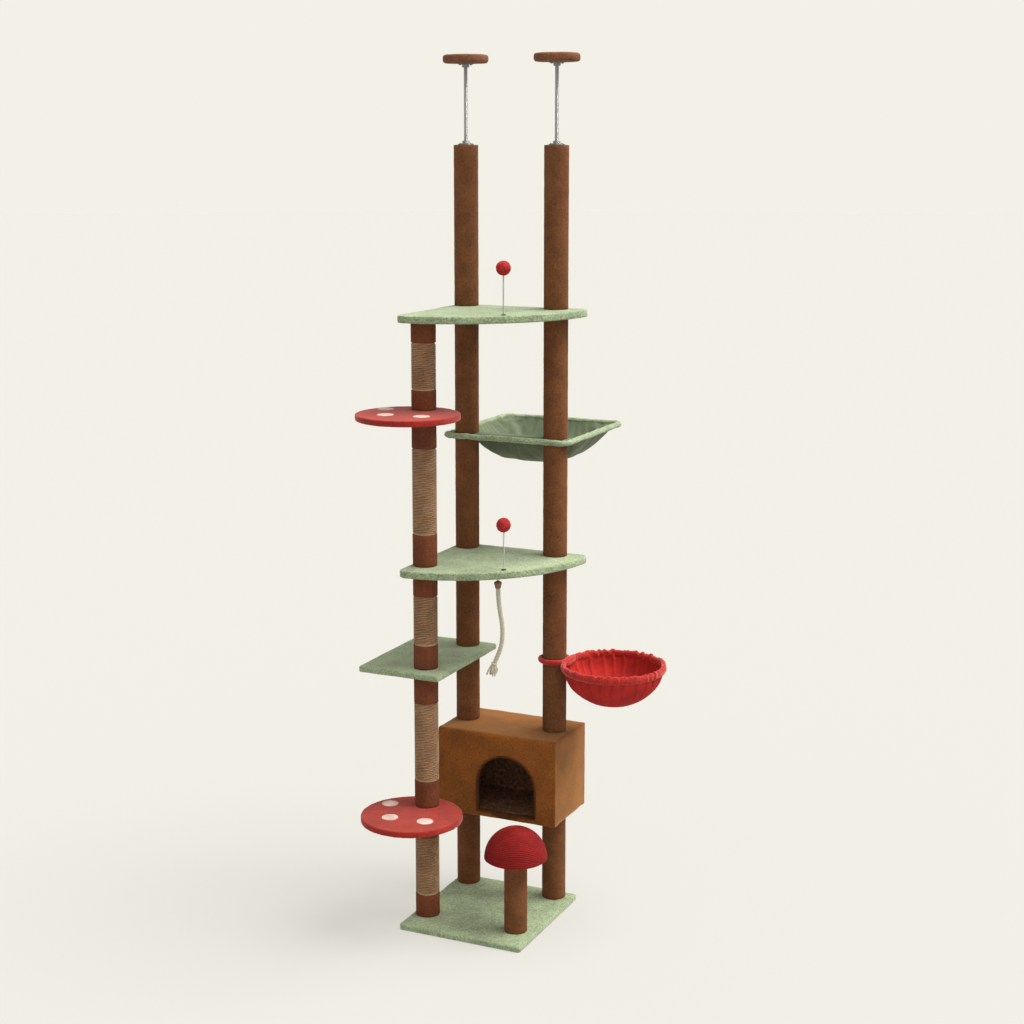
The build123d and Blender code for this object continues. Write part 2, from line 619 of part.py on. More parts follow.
for side, place in (("left", LEFT_POST), ("right", RIGHT_POST)):
    with BuildPart() as jack_rod:
        rod(place, POST_TOP - ROD_BELOW, pad_low, ROD_RADIUS)
    save(jack_rod, f"{side}_jack_rod")

    with BuildPart() as pad_flange:
        tube(place, pad_low - FLANGE_THICK, pad_low, FLANGE_RADIUS, ROD_RADIUS)
        tube(place, pad_low - FLANGE_THICK - 8, pad_low - FLANGE_THICK, 10, ROD_RADIUS)
    save(pad_flange, f"{side}_pad_flange")

    with BuildPart() as ceiling_pad:
        with BuildSketch(Plane.XY.offset(pad_low)):
            with Locations(place):
                Circle(PAD_RADIUS)
        extrude(amount=PAD_THICK)
        fillet(ceiling_pad.edges(), 8)
    save(ceiling_pad, f"{side}_ceiling_pad")
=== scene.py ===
"""Looks of the floor-to-ceiling cat tree: plush, sisal, cloth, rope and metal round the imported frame.

Metres, in the frame's own axes.
"""
import math
import random

import bmesh
import bpy
from mathutils import Matrix, Vector, noise


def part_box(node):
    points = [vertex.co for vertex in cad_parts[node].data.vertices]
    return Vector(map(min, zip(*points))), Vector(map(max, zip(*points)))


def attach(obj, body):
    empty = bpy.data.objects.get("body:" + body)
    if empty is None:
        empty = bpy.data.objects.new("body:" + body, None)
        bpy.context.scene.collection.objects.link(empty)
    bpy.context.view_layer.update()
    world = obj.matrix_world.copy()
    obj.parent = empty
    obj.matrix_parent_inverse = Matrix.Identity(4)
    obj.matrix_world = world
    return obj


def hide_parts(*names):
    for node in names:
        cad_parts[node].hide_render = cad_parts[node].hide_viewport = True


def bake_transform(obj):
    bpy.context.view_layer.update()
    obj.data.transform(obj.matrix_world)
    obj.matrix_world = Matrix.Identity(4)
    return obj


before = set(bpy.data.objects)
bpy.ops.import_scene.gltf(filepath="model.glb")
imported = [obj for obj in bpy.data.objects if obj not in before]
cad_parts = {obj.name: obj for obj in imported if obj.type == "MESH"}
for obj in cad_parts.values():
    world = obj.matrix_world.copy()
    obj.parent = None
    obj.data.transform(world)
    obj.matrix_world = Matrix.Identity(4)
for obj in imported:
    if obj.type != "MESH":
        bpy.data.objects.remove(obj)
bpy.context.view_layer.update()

bl_info = {
    "name": "Cat Tree",
    "version": (1, 0, 0),
    "blender": (4, 5, 0),
    "location": "3D View > Sidebar > Cat Tree",
    "description": "Builds the covers, windings, cloth and fittings of a tall cat tree",
    "category": "Add Mesh",
}

MM = 0.001
FULL_TURN = 2 * math.pi


# ---- settings ---------------------------------------------------------------------------
class CatTreeColours(bpy.types.PropertyGroup):
    """Cloth and winding colours, as sRGB hex."""
    brown: bpy.props.StringProperty(name="Brown plush", description="Post covers", default="#6E4529")
    russet: bpy.props.StringProperty(
        name="Band plush", description="Bands on the sisal post", default="#6C3C27"
    )
    tan: bpy.props.StringProperty(name="House plush", description="House cover", default="#834B1C")
    green: bpy.props.StringProperty(name="Green plush", description="Shelf covers", default="#8E9C78")
    red: bpy.props.StringProperty(name="Red plush", description="Mushroom steps", default="#97291F")
    cloth: bpy.props.StringProperty(name="Nest cloth", description="Hanging nest", default="#AC2A24")
    sisal: bpy.props.StringProperty(name="Sisal", description="Scratching bands", default="#A8835F")
    cotton: bpy.props.StringProperty(name="Cotton", description="Play rope", default="#B6AE97")


class CatTreeSizes(bpy.types.PropertyGroup):
    """Sizes of the making, in metres."""
    sisal: bpy.props.FloatProperty(name="Sisal cord", description="Cord width", default=0.0055, unit="LENGTH")
    winding: bpy.props.FloatProperty(name="Cap cord", description="Cord width", default=0.0052, unit="LENGTH")
    sag: bpy.props.FloatProperty(
        name="Hammock sag", description="Depth of the pocket", default=0.076, unit="LENGTH"
    )
    thread: bpy.props.FloatProperty(
        name="Thread pitch", description="Jack rods", default=0.00175, unit="LENGTH"
    )
    pleats: bpy.props.IntProperty(name="Pleats", description="Gathers round the nest", default=26, min=8)


# ---- materials --------------------------------------------------------------------------
def colour(code):
    """Linear RGBA from an sRGB hex value."""
    channels = [int(code[i:i + 2], 16) / 255 for i in (1, 3, 5)]
    linear = [c / 12.92 if c <= 0.04045 else ((c + 0.055) / 1.055) ** 2.4 for c in channels]
    return (*linear, 1.0)


def shade(code, factor):
    """A hex colour made lighter or darker by a factor."""
    return "#" + "".join(f"{min(255, round(int(code[i:i + 2], 16) * factor)):02X}" for i in (1, 3, 5))


def add(tree, kind, inputs=None, **settings):
    """Add a node with its settings, and set or link its inputs."""
    node = tree.nodes.new(kind)
    for name, value in settings.items():
        setattr(node, name, value)
    for name, value in (inputs or {}).items():
        if isinstance(name, int):
            socket = node.inputs[name]
        else:
            socket = next(s for s in node.inputs if s.enabled and s.name == name)
        if isinstance(value, bpy.types.NodeSocket):
            tree.links.new(value, socket)
        else:
            socket.default_value = value
    return node


def result(node):
    """The output of a Mix node that is in use."""
    return next(s for s in node.outputs if s.enabled)


def blank(name):
    """A new material with an empty node tree."""
    material = bpy.data.materials.new(name)
    material.use_nodes = True
    material.node_tree.nodes.clear()
    return material, material.node_tree


def ramp(tree, factor, stops):
    """A colour ramp through (position, hex) stops."""
    node = add(tree, "ShaderNodeValToRGB", {"Fac": factor})
    while len(node.color_ramp.elements) < len(stops):
        node.color_ramp.elements.new(0.5)
    for element, (place, code) in zip(node.color_ramp.elements, stops):
        element.position = place
        element.color = colour(code)
    return node.outputs["Color"]


def surface(tree, base, normal, **uniform):
    """The Principled shader and the output."""
    shader = add(tree, "ShaderNodeBsdfPrincipled", {"Base Color": base, "Normal": normal})
    for name, value in uniform.items():
        shader.inputs[name.replace("_", " ")].default_value = value
    add(tree, "ShaderNodeOutputMaterial", {"Surface": shader.outputs["BSDF"]})


def pile(name, code, nub, patch, depth, contrast=0.25, sheen=0.25, strength=0.7, bloom=None):
    """Short knitted pile: tufts of one size, laid over soft patches where the nap leans."""
    material, tree = blank(name)
    place = add(tree, "ShaderNodeTexCoord").outputs["Object"]
    tufts = add(
        tree, "ShaderNodeTexNoise", {"Vector": place, "Scale": 1 / nub, "Detail": 3.0, "Roughness": 0.65}
    )
    leaning = add(tree, "ShaderNodeTexNoise", {"Vector": place, "Scale": 1 / patch, "Detail": 2.0})
    tuft_colour = ramp(tree, tufts.outputs["Fac"], [
        (0.30, shade(code, 1 - contrast)), (0.52, code), (0.72, shade(code, 1 + 0.6 * contrast)),
    ])
    nap = ramp(tree, leaning.outputs["Fac"], [(0.35, "#E2E2E2"), (0.65, "#FFFFFF")])
    base = add(
        tree, "ShaderNodeMix", {"Factor": 1.0, "A": tuft_colour, "B": nap}, data_type="RGBA",
        blend_type="MULTIPLY"
    )
    bump = add(
        tree, "ShaderNodeBump", {"Height": tufts.outputs["Fac"], "Distance": depth, "Strength": strength}
    )
    surface(
        tree, result(base), bump.outputs["Normal"],
        Roughness=0.95, Sheen_Weight=sheen, Sheen_Roughness=0.45,
        Sheen_Tint=colour(bloom or shade(code, 1.5)),
        Specular_IOR_Level=0.15,
    )
    return material


def brown_plush():
    """Short-pile polyester plush on the posts: warm brown, matt, with a faint sheen."""
    return pile("short_pile_plush_brown", colours().brown, 0.0045, 0.05, 0.0010, contrast=0.22, sheen=0.2)


def band_plush():
    """The plush bands between the sisal sections, a redder dye lot."""
    return pile("short_pile_plush_russet", colours().russet, 0.0045, 0.05, 0.0010, contrast=0.22, sheen=0.2)


def tan_plush():
    """The same plush on the house, a lighter tan."""
    return pile(
        "short_pile_plush_tan", colours().tan, 0.0045, 0.07, 0.0010, contrast=0.22, sheen=0.5, bloom="#EBC68E"
    )


def green_plush():
    """Boucle plush on the shelves: curly nubs that show most along the edges."""
    return pile(
        "boucle_plush_green", colours().green, 0.0050, 0.06, 0.0020, contrast=0.30, sheen=0.5, bloom="#DDE3CC"
    )


def green_cloth():
    """Brushed velboa on the hammock, smoother than the shelves; its colour is the shelf green darkened to
    0.70, painted shade of the pocket under the top shelf.
    """
    # The 0.70 darkening is painted shade, not the cloth's own colour.
    return pile(
        "brushed_velboa_green_painted_shade", shade(colours().green, 0.70), 0.0030, 0.08, 0.0006, contrast=0.14, sheen=0.25,
        bloom="#DDE3CC",
    )


def red_plush():
    """Short-pile plush on the mushroom steps."""
    return pile(
        "short_pile_plush_red", colours().red, 0.0040, 0.05, 0.0009, contrast=0.18, sheen=0.5, bloom="#D9A79C"
    )


def red_cloth():
    """Brushed velboa of the nest's bowl: deep red, so that its creases read dark."""
    return pile("brushed_velboa_red", colours().cloth, 0.0032, 0.06, 0.0007, contrast=0.16, sheen=0.12)


def red_casing():
    """The same cloth bunched up on the nest's rim, where its raised nap blooms pink."""
    return pile(
        "brushed_velboa_red_bunched", colours(
        ).cloth, 0.0036, 0.05, 0.0014, contrast=0.24, sheen=0.6, bloom="#E9A79C"
    )


def white_felt():
    """Pressed wool felt of the spots: cream, flat and fibrous."""
    return pile("pressed_felt_cream", "#CDB3A6", 0.0020, 0.03, 0.0004, contrast=0.08, sheen=0.1)


def black_felt():
    """Needled felt under the base."""
    return pile("needled_felt_black", "#2A2823", 0.0025, 0.05, 0.0005, contrast=0.2, sheen=0.05)


def dark_fur():
    """Mottled long pile lining the house: dark brown with lighter flecks."""
    return pile("mottled_fur_brown", "#6E4C35", 0.0100, 0.05, 0.0030, contrast=0.55, sheen=0.2, strength=1.0)


def cord_winding(name, code, width, lay_length, post, radius, sheen=0.1, groove_shade=0.2):
    """Twisted cord wound round an upright axis: the strands cross each turn at a slant, with painted shade in
    the grooves between them.
    """
    material, tree = blank(name)
    place = add(tree, "ShaderNodeTexCoord").outputs["Object"]
    local = add(tree, "ShaderNodeMapping", {"Vector": place, "Location": (-post[0], -post[1], 0)})
    parts = add(tree, "ShaderNodeSeparateXYZ", {"Vector": local.outputs["Vector"]})
    angle = add(tree, "ShaderNodeMath", {0: parts.outputs["Y"], 1: parts.outputs["X"]}, operation="ARCTAN2")
    around = add(tree, "ShaderNodeMath", {0: angle.outputs[0], 1: radius}, operation="MULTIPLY")
    unrolled = add(tree, "ShaderNodeCombineXYZ", {"X": around.outputs[0], "Y": parts.outputs["Z"]})
    slanted = add(tree, "ShaderNodeMapping", {
        "Vector": unrolled.outputs["Vector"], "Rotation": (0, 0, math.radians(76)),
        "Scale": (1 / lay_length, 1 / lay_length, 1),
    })
    strands = add(tree, "ShaderNodeTexWave", {
        "Vector": slanted.outputs["Vector"], "Scale": 0.3, "Distortion": 1.5, "Detail": 2.0,
        "Detail Scale": 2.0,
    })
    fibres = add(tree, "ShaderNodeTexNoise", {"Vector": place, "Scale": 1 / (0.6 * width), "Detail": 4.0})
    patches = add(tree, "ShaderNodeTexNoise", {"Vector": place, "Scale": 1 / 0.04, "Detail": 2.0})
    # Painted shade: the wave's dips, the grooves between strands, are darkened by this amount.
    strands_with_groove_shade = ramp(tree, strands.outputs["Fac"], [(0.05, shade(code, 1 - 1.6 * groove_shade)), (0.6, code)])
    fibre_colour = ramp(tree, fibres.outputs["Fac"], [(0.3, "#C8C0B8"), (0.65, "#FFFFFF")])
    patch_colour = ramp(tree, patches.outputs["Fac"], [(0.35, "#D4CCC4"), (0.65, "#FFFFFF")])
    woven = add(
        tree, "ShaderNodeMix", {"Factor": 1.0, "A": strands_with_groove_shade, "B": fibre_colour}, data_type="RGBA",
        blend_type="MULTIPLY"
    )
    base = add(
        tree, "ShaderNodeMix", {"Factor": 0.7, "A": result(woven), "B": patch_colour}, data_type="RGBA",
        blend_type="MULTIPLY"
    )
    height = add(
        tree, "ShaderNodeMix", {"Factor": 0.4, "A": strands.outputs["Fac"], "B": fibres.outputs["Fac"]},
        data_type="FLOAT"
    )
    bump = add(tree, "ShaderNodeBump", {"Height": result(height), "Distance": 0.10 * width, "Strength": 0.4})
    surface(
        tree, result(base), bump.outputs["Normal"], Roughness=0.85, Sheen_Weight=sheen,
        Specular_IOR_Level=0.25
    )
    return material


def cotton():
    """Undyed three-strand cotton: cream, matt, with fine yarn lines along each strand."""
    material, tree = blank("twisted_cotton_cream")
    place = add(tree, "ShaderNodeTexCoord").outputs["Object"]
    long_way = add(tree, "ShaderNodeMapping", {"Vector": place, "Scale": (1, 1, 0.25)})
    yarn = add(
        tree, "ShaderNodeTexNoise", {"Vector": long_way.outputs["Vector"], "Scale": 1 / 0.0012, "Detail": 3.0}
    )
    code = colours().cotton
    base = ramp(tree, yarn.outputs["Fac"], [(0.3, shade(code, 0.78)), (0.6, code)])
    bump = add(tree, "ShaderNodeBump", {"Height": yarn.outputs["Fac"], "Distance": 0.0005, "Strength": 0.5})
    surface(tree, base, bump.outputs["Normal"], Roughness=0.9, Sheen_Weight=0.15)
    return material


def board():
    """Raw particle board: pressed chips of a few millimetres, pale and dull."""
    material, tree = blank("particle_board_raw")
    place = add(tree, "ShaderNodeTexCoord").outputs["Object"]
    chips = add(tree, "ShaderNodeTexVoronoi", {"Vector": place, "Scale": 1 / 0.004})
    tint = add(tree, "ShaderNodeTexNoise", {"Vector": place, "Scale": 1 / 0.0025, "Detail": 3.0})
    chip_colour = ramp(tree, tint.outputs["Fac"], [(0.3, "#8D6B44"), (0.55, "#B59166"), (0.75, "#CDB088")])
    bump = add(
        tree, "ShaderNodeBump", {"Height": chips.outputs["Distance"], "Distance": 0.0003, "Strength": 0.5}
    )
    surface(tree, chip_colour, bump.outputs["Normal"], Roughness=0.8)
    return material


def metal(name, code, roughness, grain=0.0015):
    """Plated steel: bright, with a fine drawn grain that breaks up its gloss."""
    material, tree = blank(name)
    place = add(tree, "ShaderNodeTexCoord").outputs["Object"]
    lines = add(tree, "ShaderNodeTexNoise", {"Vector": place, "Scale": 1 / grain, "Detail": 2.0})
    base = ramp(tree, lines.outputs["Fac"], [(0.3, shade(code, 0.92)), (0.7, code)])
    bump = add(tree, "ShaderNodeBump", {"Height": lines.outputs["Fac"], "Distance": 0.00008, "Strength": 0.4})
    surface(tree, base, bump.outputs["Normal"], Metallic=1.0, Roughness=roughness)
    return material


def moulded(name, code, roughness=0.45):
    """Injection-moulded plastic with a light spark-eroded grain."""
    material, tree = blank(name)
    place = add(tree, "ShaderNodeTexCoord").outputs["Object"]
    grain = add(tree, "ShaderNodeTexNoise", {"Vector": place, "Scale": 1 / 0.0008, "Detail": 2.0})
    base = ramp(tree, grain.outputs["Fac"], [(0.3, shade(code, 0.9)), (0.7, code)])
    bump = add(tree, "ShaderNodeBump", {"Height": grain.outputs["Fac"], "Distance": 0.0001, "Strength": 0.4})
    surface(tree, base, bump.outputs["Normal"], Roughness=roughness)
    return material


def card():
    """Spiral-wound grey-brown paper tube."""
    material, tree = blank("spiral_wound_paper")
    place = add(tree, "ShaderNodeTexCoord").outputs["Object"]
    fibre = add(tree, "ShaderNodeTexNoise", {"Vector": place, "Scale": 1 / 0.003, "Detail": 4.0})
    base = ramp(tree, fibre.outputs["Fac"], [(0.3, "#8F7453"), (0.7, "#B3966F")])
    bump = add(tree, "ShaderNodeBump", {"Height": fibre.outputs["Fac"], "Distance": 0.0002, "Strength": 0.3})
    surface(tree, base, bump.outputs["Normal"], Roughness=0.9)
    return material


def colours():
    """The colour settings of the scene."""
    return bpy.context.scene.cat_tree_colours


def sizes():
    """The size settings of the scene."""
    return bpy.context.scene.cat_tree_sizes


# ---- mesh helpers -----------------------------------------------------------------------
def piece(name, bm, material, body="tree", slot=None, nodes=()):
    """Make an object of a bmesh, and let it ride on a body in place of its CAD nodes."""
    mesh = bpy.data.meshes.new(name)
    bm.to_mesh(mesh)
    bm.free()
    return placed(bpy.data.objects.new(name, mesh), material, body, slot, nodes)


def placed(thing, material, body="tree", slot=None, nodes=()):
    """Link an object and give it its material and body; the slot is not used."""
    bpy.context.scene.collection.objects.link(thing)
    thing.data.materials.clear()
    thing.data.materials.append(material)
    if thing.type == "MESH":
        thing.data.polygons.foreach_set("use_smooth", [True] * len(thing.data.polygons))
    if body:
        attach(thing, body)
    if nodes:
        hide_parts(*nodes)
    return thing


def settle(thing):
    """Apply every modifier of an object to its mesh."""
    bpy.context.view_layer.update()
    shape = thing.evaluated_get(bpy.context.evaluated_depsgraph_get())
    mesh = bpy.data.meshes.new_from_object(shape)
    thing.modifiers.clear()
    old = thing.data
    thing.data = mesh
    bpy.data.meshes.remove(old)
    mesh.polygons.foreach_set("use_smooth", [True] * len(mesh.polygons))
    return thing


def lumpy(thing, size, height, group=""):
    """Push a surface in and out by soft clouds of one size."""
    cloud = bpy.data.textures.new(f"{thing.name}_cloud", "CLOUDS")
    cloud.noise_scale = size
    cloud.noise_depth = 2
    push = thing.modifiers.new("lumps", "DISPLACE")
    push.texture = cloud
    push.texture_coords = "LOCAL"
    push.strength = height
    push.mid_level = 0.5
    push.vertex_group = group


def upholster(
    name, bm, material, voxel, lumps, nubs, body="tree", slot=None, nodes=(), edge_nubs=0.0, rounds=3
):
    """Turn a closed form into a stuffed, napped one: even mesh, soft corners, lumps and nubs."""
    thing = piece(name, bm, material, body, slot, nodes)
    even = thing.modifiers.new("even", "REMESH")
    even.mode = "VOXEL"
    even.voxel_size = voxel
    soft = thing.modifiers.new("soft", "SMOOTH")
    soft.factor = 0.5
    soft.iterations = rounds
    settle(thing)
    lumpy(thing, *lumps)
    lumpy(thing, *nubs)
    if edge_nubs:
        rim = thing.vertex_groups.new(name="rim")
        for vertex in thing.data.vertices:
            steep = 1 - abs(vertex.normal.z)
            if steep > 0.25:
                rim.add([vertex.index], min(1.0, 1.5 * steep), "REPLACE")
        lumpy(thing, nubs[0] * 1.3, edge_nubs, "rim")
    settle(thing)
    thing.vertex_groups.clear()
    return thing


def hull_of(node):
    """The closed outer form of a convex CAD node."""
    bm = bmesh.new()
    bm.from_mesh(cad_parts[node].data)
    bmesh.ops.remove_doubles(bm, verts=bm.verts, dist=1e-5)
    formed = bmesh.ops.convex_hull(bm, input=bm.verts)
    inner = [v for v in formed["geom_interior"] if isinstance(v, bmesh.types.BMVert)]
    bmesh.ops.delete(bm, geom=inner, context="VERTS")
    kept = {g for g in formed["geom"] if isinstance(g, bmesh.types.BMFace)}
    spare = [f for f in bm.faces if f not in kept]
    bmesh.ops.delete(bm, geom=spare, context="FACES")
    bmesh.ops.recalc_face_normals(bm, faces=bm.faces)
    return bm


def gridded(node, step):
    """A merged copy of a CAD node, cut into a grid so that it can be dented and smoothed."""
    bm = bmesh.new()
    bm.from_mesh(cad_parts[node].data)
    bmesh.ops.remove_doubles(bm, verts=bm.verts, dist=1e-5)
    low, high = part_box(node)
    for axis in range(3):
        normal = Vector((axis == 0, axis == 1, axis == 2))
        count = max(1, round((high[axis] - low[axis]) / step))
        for cut in range(1, count):
            place = Vector(low) + normal * (high[axis] - low[axis]) * cut / count
            bmesh.ops.bisect_plane(
                bm, geom=bm.verts[:] + bm.edges[:] + bm.faces[:], dist=1e-6, plane_co=place, plane_no=normal
            )
    return bm


def turned(profile, centre, steps=64, closed=True):
    """Spin an outline of (radius, height) points round an upright axis."""
    bm = bmesh.new()
    points = [bm.verts.new((centre[0] + radius, centre[1], height)) for radius, height in profile]
    edges = [bm.edges.new(pair) for pair in zip(points, points[1:])]
    if closed:
        edges.append(bm.edges.new((points[-1], points[0])))
    bmesh.ops.spin(
        bm, geom=points + edges, cent=(
            *centre, 0
        ), axis=(0, 0, 1), angle=FULL_TURN, steps=steps, use_merge=True
    )
    bmesh.ops.remove_doubles(bm, verts=bm.verts, dist=1e-6)
    bmesh.ops.recalc_face_normals(bm, faces=bm.faces)
    return bm


def joined(*parts):
    """Several bmeshes as one."""
    whole = bmesh.new()
    for part in parts:
        mesh = bpy.data.meshes.new("part")
        part.to_mesh(mesh)
        part.free()
        whole.from_mesh(mesh)
        bpy.data.meshes.remove(mesh)
    return whole


def stacked(turn, rise, count):
    """One turn of a helix repeated upwards, joined end to end and closed at both ends."""
    mesh = bpy.data.meshes.new("turn")
    turn.to_mesh(mesh)
    turn.free()
    whole = bmesh.new()
    for _ in range(count):
        whole.from_mesh(mesh)
        mesh.transform(Matrix.Translation((0, 0, rise)))
    bpy.data.meshes.remove(mesh)
    bmesh.ops.remove_doubles(whole, verts=whole.verts, dist=1e-5)
    bmesh.ops.holes_fill(whole, edges=[e for e in whole.edges if e.is_boundary], sides=0)
    bmesh.ops.recalc_face_normals(whole, faces=whole.faces)
    return whole


def coiled(centre, reach, low, high, radius, pitch, steps, sides):
    """A round cord or wire wound round an upright axis from low to high."""
    turns = max(1, round((high - low - 2 * radius) / pitch))
    rise = (high - low - 2 * radius) / turns
    bm = bmesh.new()
    start = Matrix.Translation(
        (centre[0] + reach, centre[1], low + radius)
    ) @ Matrix.Rotation(math.pi / 2, 4, "X")
    section = bmesh.ops.create_circle(bm, segments=sides, radius=radius, matrix=start)["verts"]
    edges = list({e for v in section for e in v.link_edges})
    bmesh.ops.spin(
        bm, geom=section + edges, cent=(*centre, 0), axis=(0, 0, 1), dvec=(0, 0, rise / steps),
        angle=FULL_TURN, steps=steps,
    )
    return stacked(bm, rise, turns)


def middle(node):
    """The upright axis of a round CAD node."""
    low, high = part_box(node)
    return ((low[0] + high[0]) / 2, (low[1] + high[1]) / 2)


def levels(node):
    """The heights at which a CAD node of upright tubes begins and ends."""
    return sorted({round(v.co.z, 4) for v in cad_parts[node].data.vertices})


def tube_through(name, points, radius, material, closed=False, **kind):
    """A round cord along points, as a mesh."""
    data = bpy.data.curves.new(name, "CURVE")
    data.dimensions = "3D"
    data.bevel_depth = radius
    data.bevel_resolution = 3
    data.use_fill_caps = True
    spline = data.splines.new("POLY")
    spline.points.add(len(points) - 1)
    for target, point in zip(spline.points, points):
        target.co = (*point, 1)
    spline.use_cyclic_u = closed
    curve = bpy.data.objects.new(name + "_line", data)
    bpy.context.scene.collection.objects.link(curve)
    bpy.context.view_layer.update()
    mesh = bpy.data.meshes.new_from_object(curve.evaluated_get(bpy.context.evaluated_depsgraph_get()))
    bpy.data.objects.remove(curve)
    return placed(bpy.data.objects.new(name, mesh), material, **kind)


def dress(node, material):
    """Give a CAD node that keeps its shape its finish."""
    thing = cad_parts[node]
    if not thing.material_slots:
        thing.data.materials.append(material)
    for holder in thing.material_slots:
        holder.material = material


# ---- places taken from the frame ---------------------------------------------------------
FRONT_POST = middle("front_post_sisal")
LEFT_POST = middle("left_post_plush_1")
RIGHT_POST = middle("right_post_plush_1")
MUSHROOM = middle("mushroom_stem_plush")
POST_RADIUS = (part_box("left_post_plush_1")[1][0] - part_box("left_post_plush_1")[0][0]) / 2
WALL = 3 * MM
TOYS = ("lower_toy", "upper_toy")


class PieceMaker:
    """What every maker shares: it can be undone."""
    bl_options = {"REGISTER", "UNDO"}


# ---- posts ------------------------------------------------------------------------------
def sleeve(name, centre, low, high, radius, material, node=None, slot="brown_plush"):
    """A plush sleeve with turned-in ends and one sewn seam down its back."""
    turn_in = 1.5 * MM
    rows = max(2, round((high - low) / (9 * MM)))
    outer = [(radius, low + turn_in + (high - low - 2 * turn_in) * i / rows) for i in range(rows + 1)]
    lip_low = [(radius - 2.4 * MM, low), (radius - 0.8 * MM, low + 0.3 * MM)]
    lip_high = [(radius - 0.8 * MM, high - 0.3 * MM), (radius - 2.4 * MM, high)]
    inner = [(radius - WALL, high - turn_in), (radius - WALL, low + turn_in)]
    bm = turned(lip_low + outer + lip_high + inner, centre, 72)
    seam = math.radians(150)
    for vertex in bm.verts:
        around = math.atan2(vertex.co.y - centre[1], vertex.co.x - centre[0])
        away = math.hypot(vertex.co.y - centre[1], vertex.co.x - centre[0])
        if abs(around - seam) < math.radians(2) and away > radius - 2 * MM:
            vertex.co.x -= 1.2 * MM * math.cos(seam)
            vertex.co.y -= 1.2 * MM * math.sin(seam)
    thing = piece(name, bm, material, "tree", slot, [node] if node else [])
    lumpy(thing, 30 * MM, 0.9 * MM)
    lumpy(thing, 7 * MM, 0.7 * MM)
    return settle(thing)


class CATTREE_OT_posts(PieceMaker, bpy.types.Operator):
    """Plush sleeves of the four posts, with a pair of bands on each scratching section"""
    bl_idname = "cattree.posts"
    bl_label = "Post covers"

    def execute(self, context):
        plush, russet = brown_plush(), band_plush()
        for side, centre in (("left", LEFT_POST), ("right", RIGHT_POST)):
            for number in range(1, 7):
                node = f"{side}_post_plush_{number}"
                low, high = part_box(node)
                sleeve(f"{side}_post_sleeve_{number}", centre, low[2], high[2], POST_RADIUS, plush, node)
        for number in range(1, 6):
            node = f"front_post_plush_{number}"
            heights = levels(node)
            for place, low, high in (("low", heights[0], heights[1]), ("high", heights[2], heights[3])):
                thing = sleeve(
                    f"front_post_band_{number}_{place}", FRONT_POST, low, high, POST_RADIUS, russet
                )
                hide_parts(node)
        low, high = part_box("mushroom_stem_plush")
        sleeve(
            "mushroom_stem_sleeve", MUSHROOM, low[2], high[2], (high[0] - low[0]) / 2, plush,
            "mushroom_stem_plush"
        )
        return {"FINISHED"}


class CATTREE_OT_sisal(PieceMaker, bpy.types.Operator):
    """Sisal cord wound round the front post, one band to each section"""
    bl_idname = "cattree.sisal"
    bl_label = "Sisal windings"

    def execute(self, context):
        width = sizes().sisal
        radius = POST_RADIUS - 0.2 * MM
        heights = levels("front_post_sisal")
        bands = [
            coiled(FRONT_POST, radius - width / 2, low, high, 0.52 * width, width, steps=36, sides=6)
            for low, high in zip(heights[::2], heights[1::2])
        ]
        # The 0.09 below darkens the cord's grooves: painted shade between strands.
        material = cord_winding(
            "sisal_cord_natural", colours().sisal, width, 0.009, FRONT_POST, radius, groove_shade=0.09
        )
        piece("sisal_winding", joined(*bands), material, "tree", "sisal_winding", ["front_post_sisal"])
        return {"FINISHED"}


# ---- base and shelves ---------------------------------------------------------------------
class CATTREE_OT_shelves(PieceMaker, bpy.types.Operator):
    """Boucle covers of the base, the side step and the two quarter-round shelves"""
    bl_idname = "cattree.shelves"
    bl_label = "Base and shelves"

    def execute(self, context):
        plush = green_plush()
        for node in ("base_plush", "side_step_plush", "middle_shelf_plush", "top_shelf_plush"):
            upholster(
                node.replace("plush", "cover"), hull_of(node), plush, 3.2 * MM, (45 * MM, 1.2 * MM),
                (6 * MM, 1.0 * MM), "tree", "green_plush", [node], edge_nubs=4.2 * MM,
            )
        return {"FINISHED"}


class CATTREE_OT_discs(PieceMaker, bpy.types.Operator):
    """The two round mushroom steps with their felt spots"""
    bl_idname = "cattree.discs"
    bl_label = "Mushroom steps"

    def execute(self, context):
        plush = red_plush()
        for node in ("lower_disc_plush", "upper_disc_plush"):
            upholster(
                node.replace("plush", "cover"), hull_of(node), plush, 3 * MM, (40 * MM, 1.0 * MM),
                (5 * MM, 0.8 * MM), "tree", "red_plush", [node], edge_nubs=1.2 * MM,
            )
        spots = self.spots()
        thing = piece("felt_spots", spots, white_felt(), "tree", "white_felt", ["disc_spots"])
        lumpy(thing, 8 * MM, 0.8 * MM)
        settle(thing)
        return {"FINISHED"}

    def spots(self):
        """One thin felt round over each CAD spot, raised in the middle and stitched down at its rim."""
        source = bmesh.new()
        source.from_mesh(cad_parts["disc_spots"].data)
        bmesh.ops.remove_doubles(source, verts=source.verts, dist=1e-5)
        rounds = []
        loose = set(source.verts)
        while loose:
            island, growing = set(), [loose.pop()]
            while growing:
                vertex = growing.pop()
                island.add(vertex)
                near = [e.other_vert(vertex) for e in vertex.link_edges]
                growing += [v for v in near if v in loose]
                loose -= set(near)
            across = [v.co.x for v in island]
            along = [v.co.y for v in island]
            centre = ((min(across) + max(across)) / 2, (min(along) + max(along)) / 2)
            radius, low = (max(across) - min(across)) / 2, min(v.co.z for v in island)
            dome = [
                (0, 3.0), (0.4, 2.9), (0.7, 2.6), (0.88, 2.0), (0.94, 1.1), (0.97, 1.6), (1.0, 0.9),
                (1.0, -0.4)
            ]
            profile = [(radius * share, low + height * MM) for share, height in dome]
            rounds.append(turned(profile + [(0, low - 0.4 * MM)], centre, 48, closed=False))
        source.free()
        return joined(*rounds)


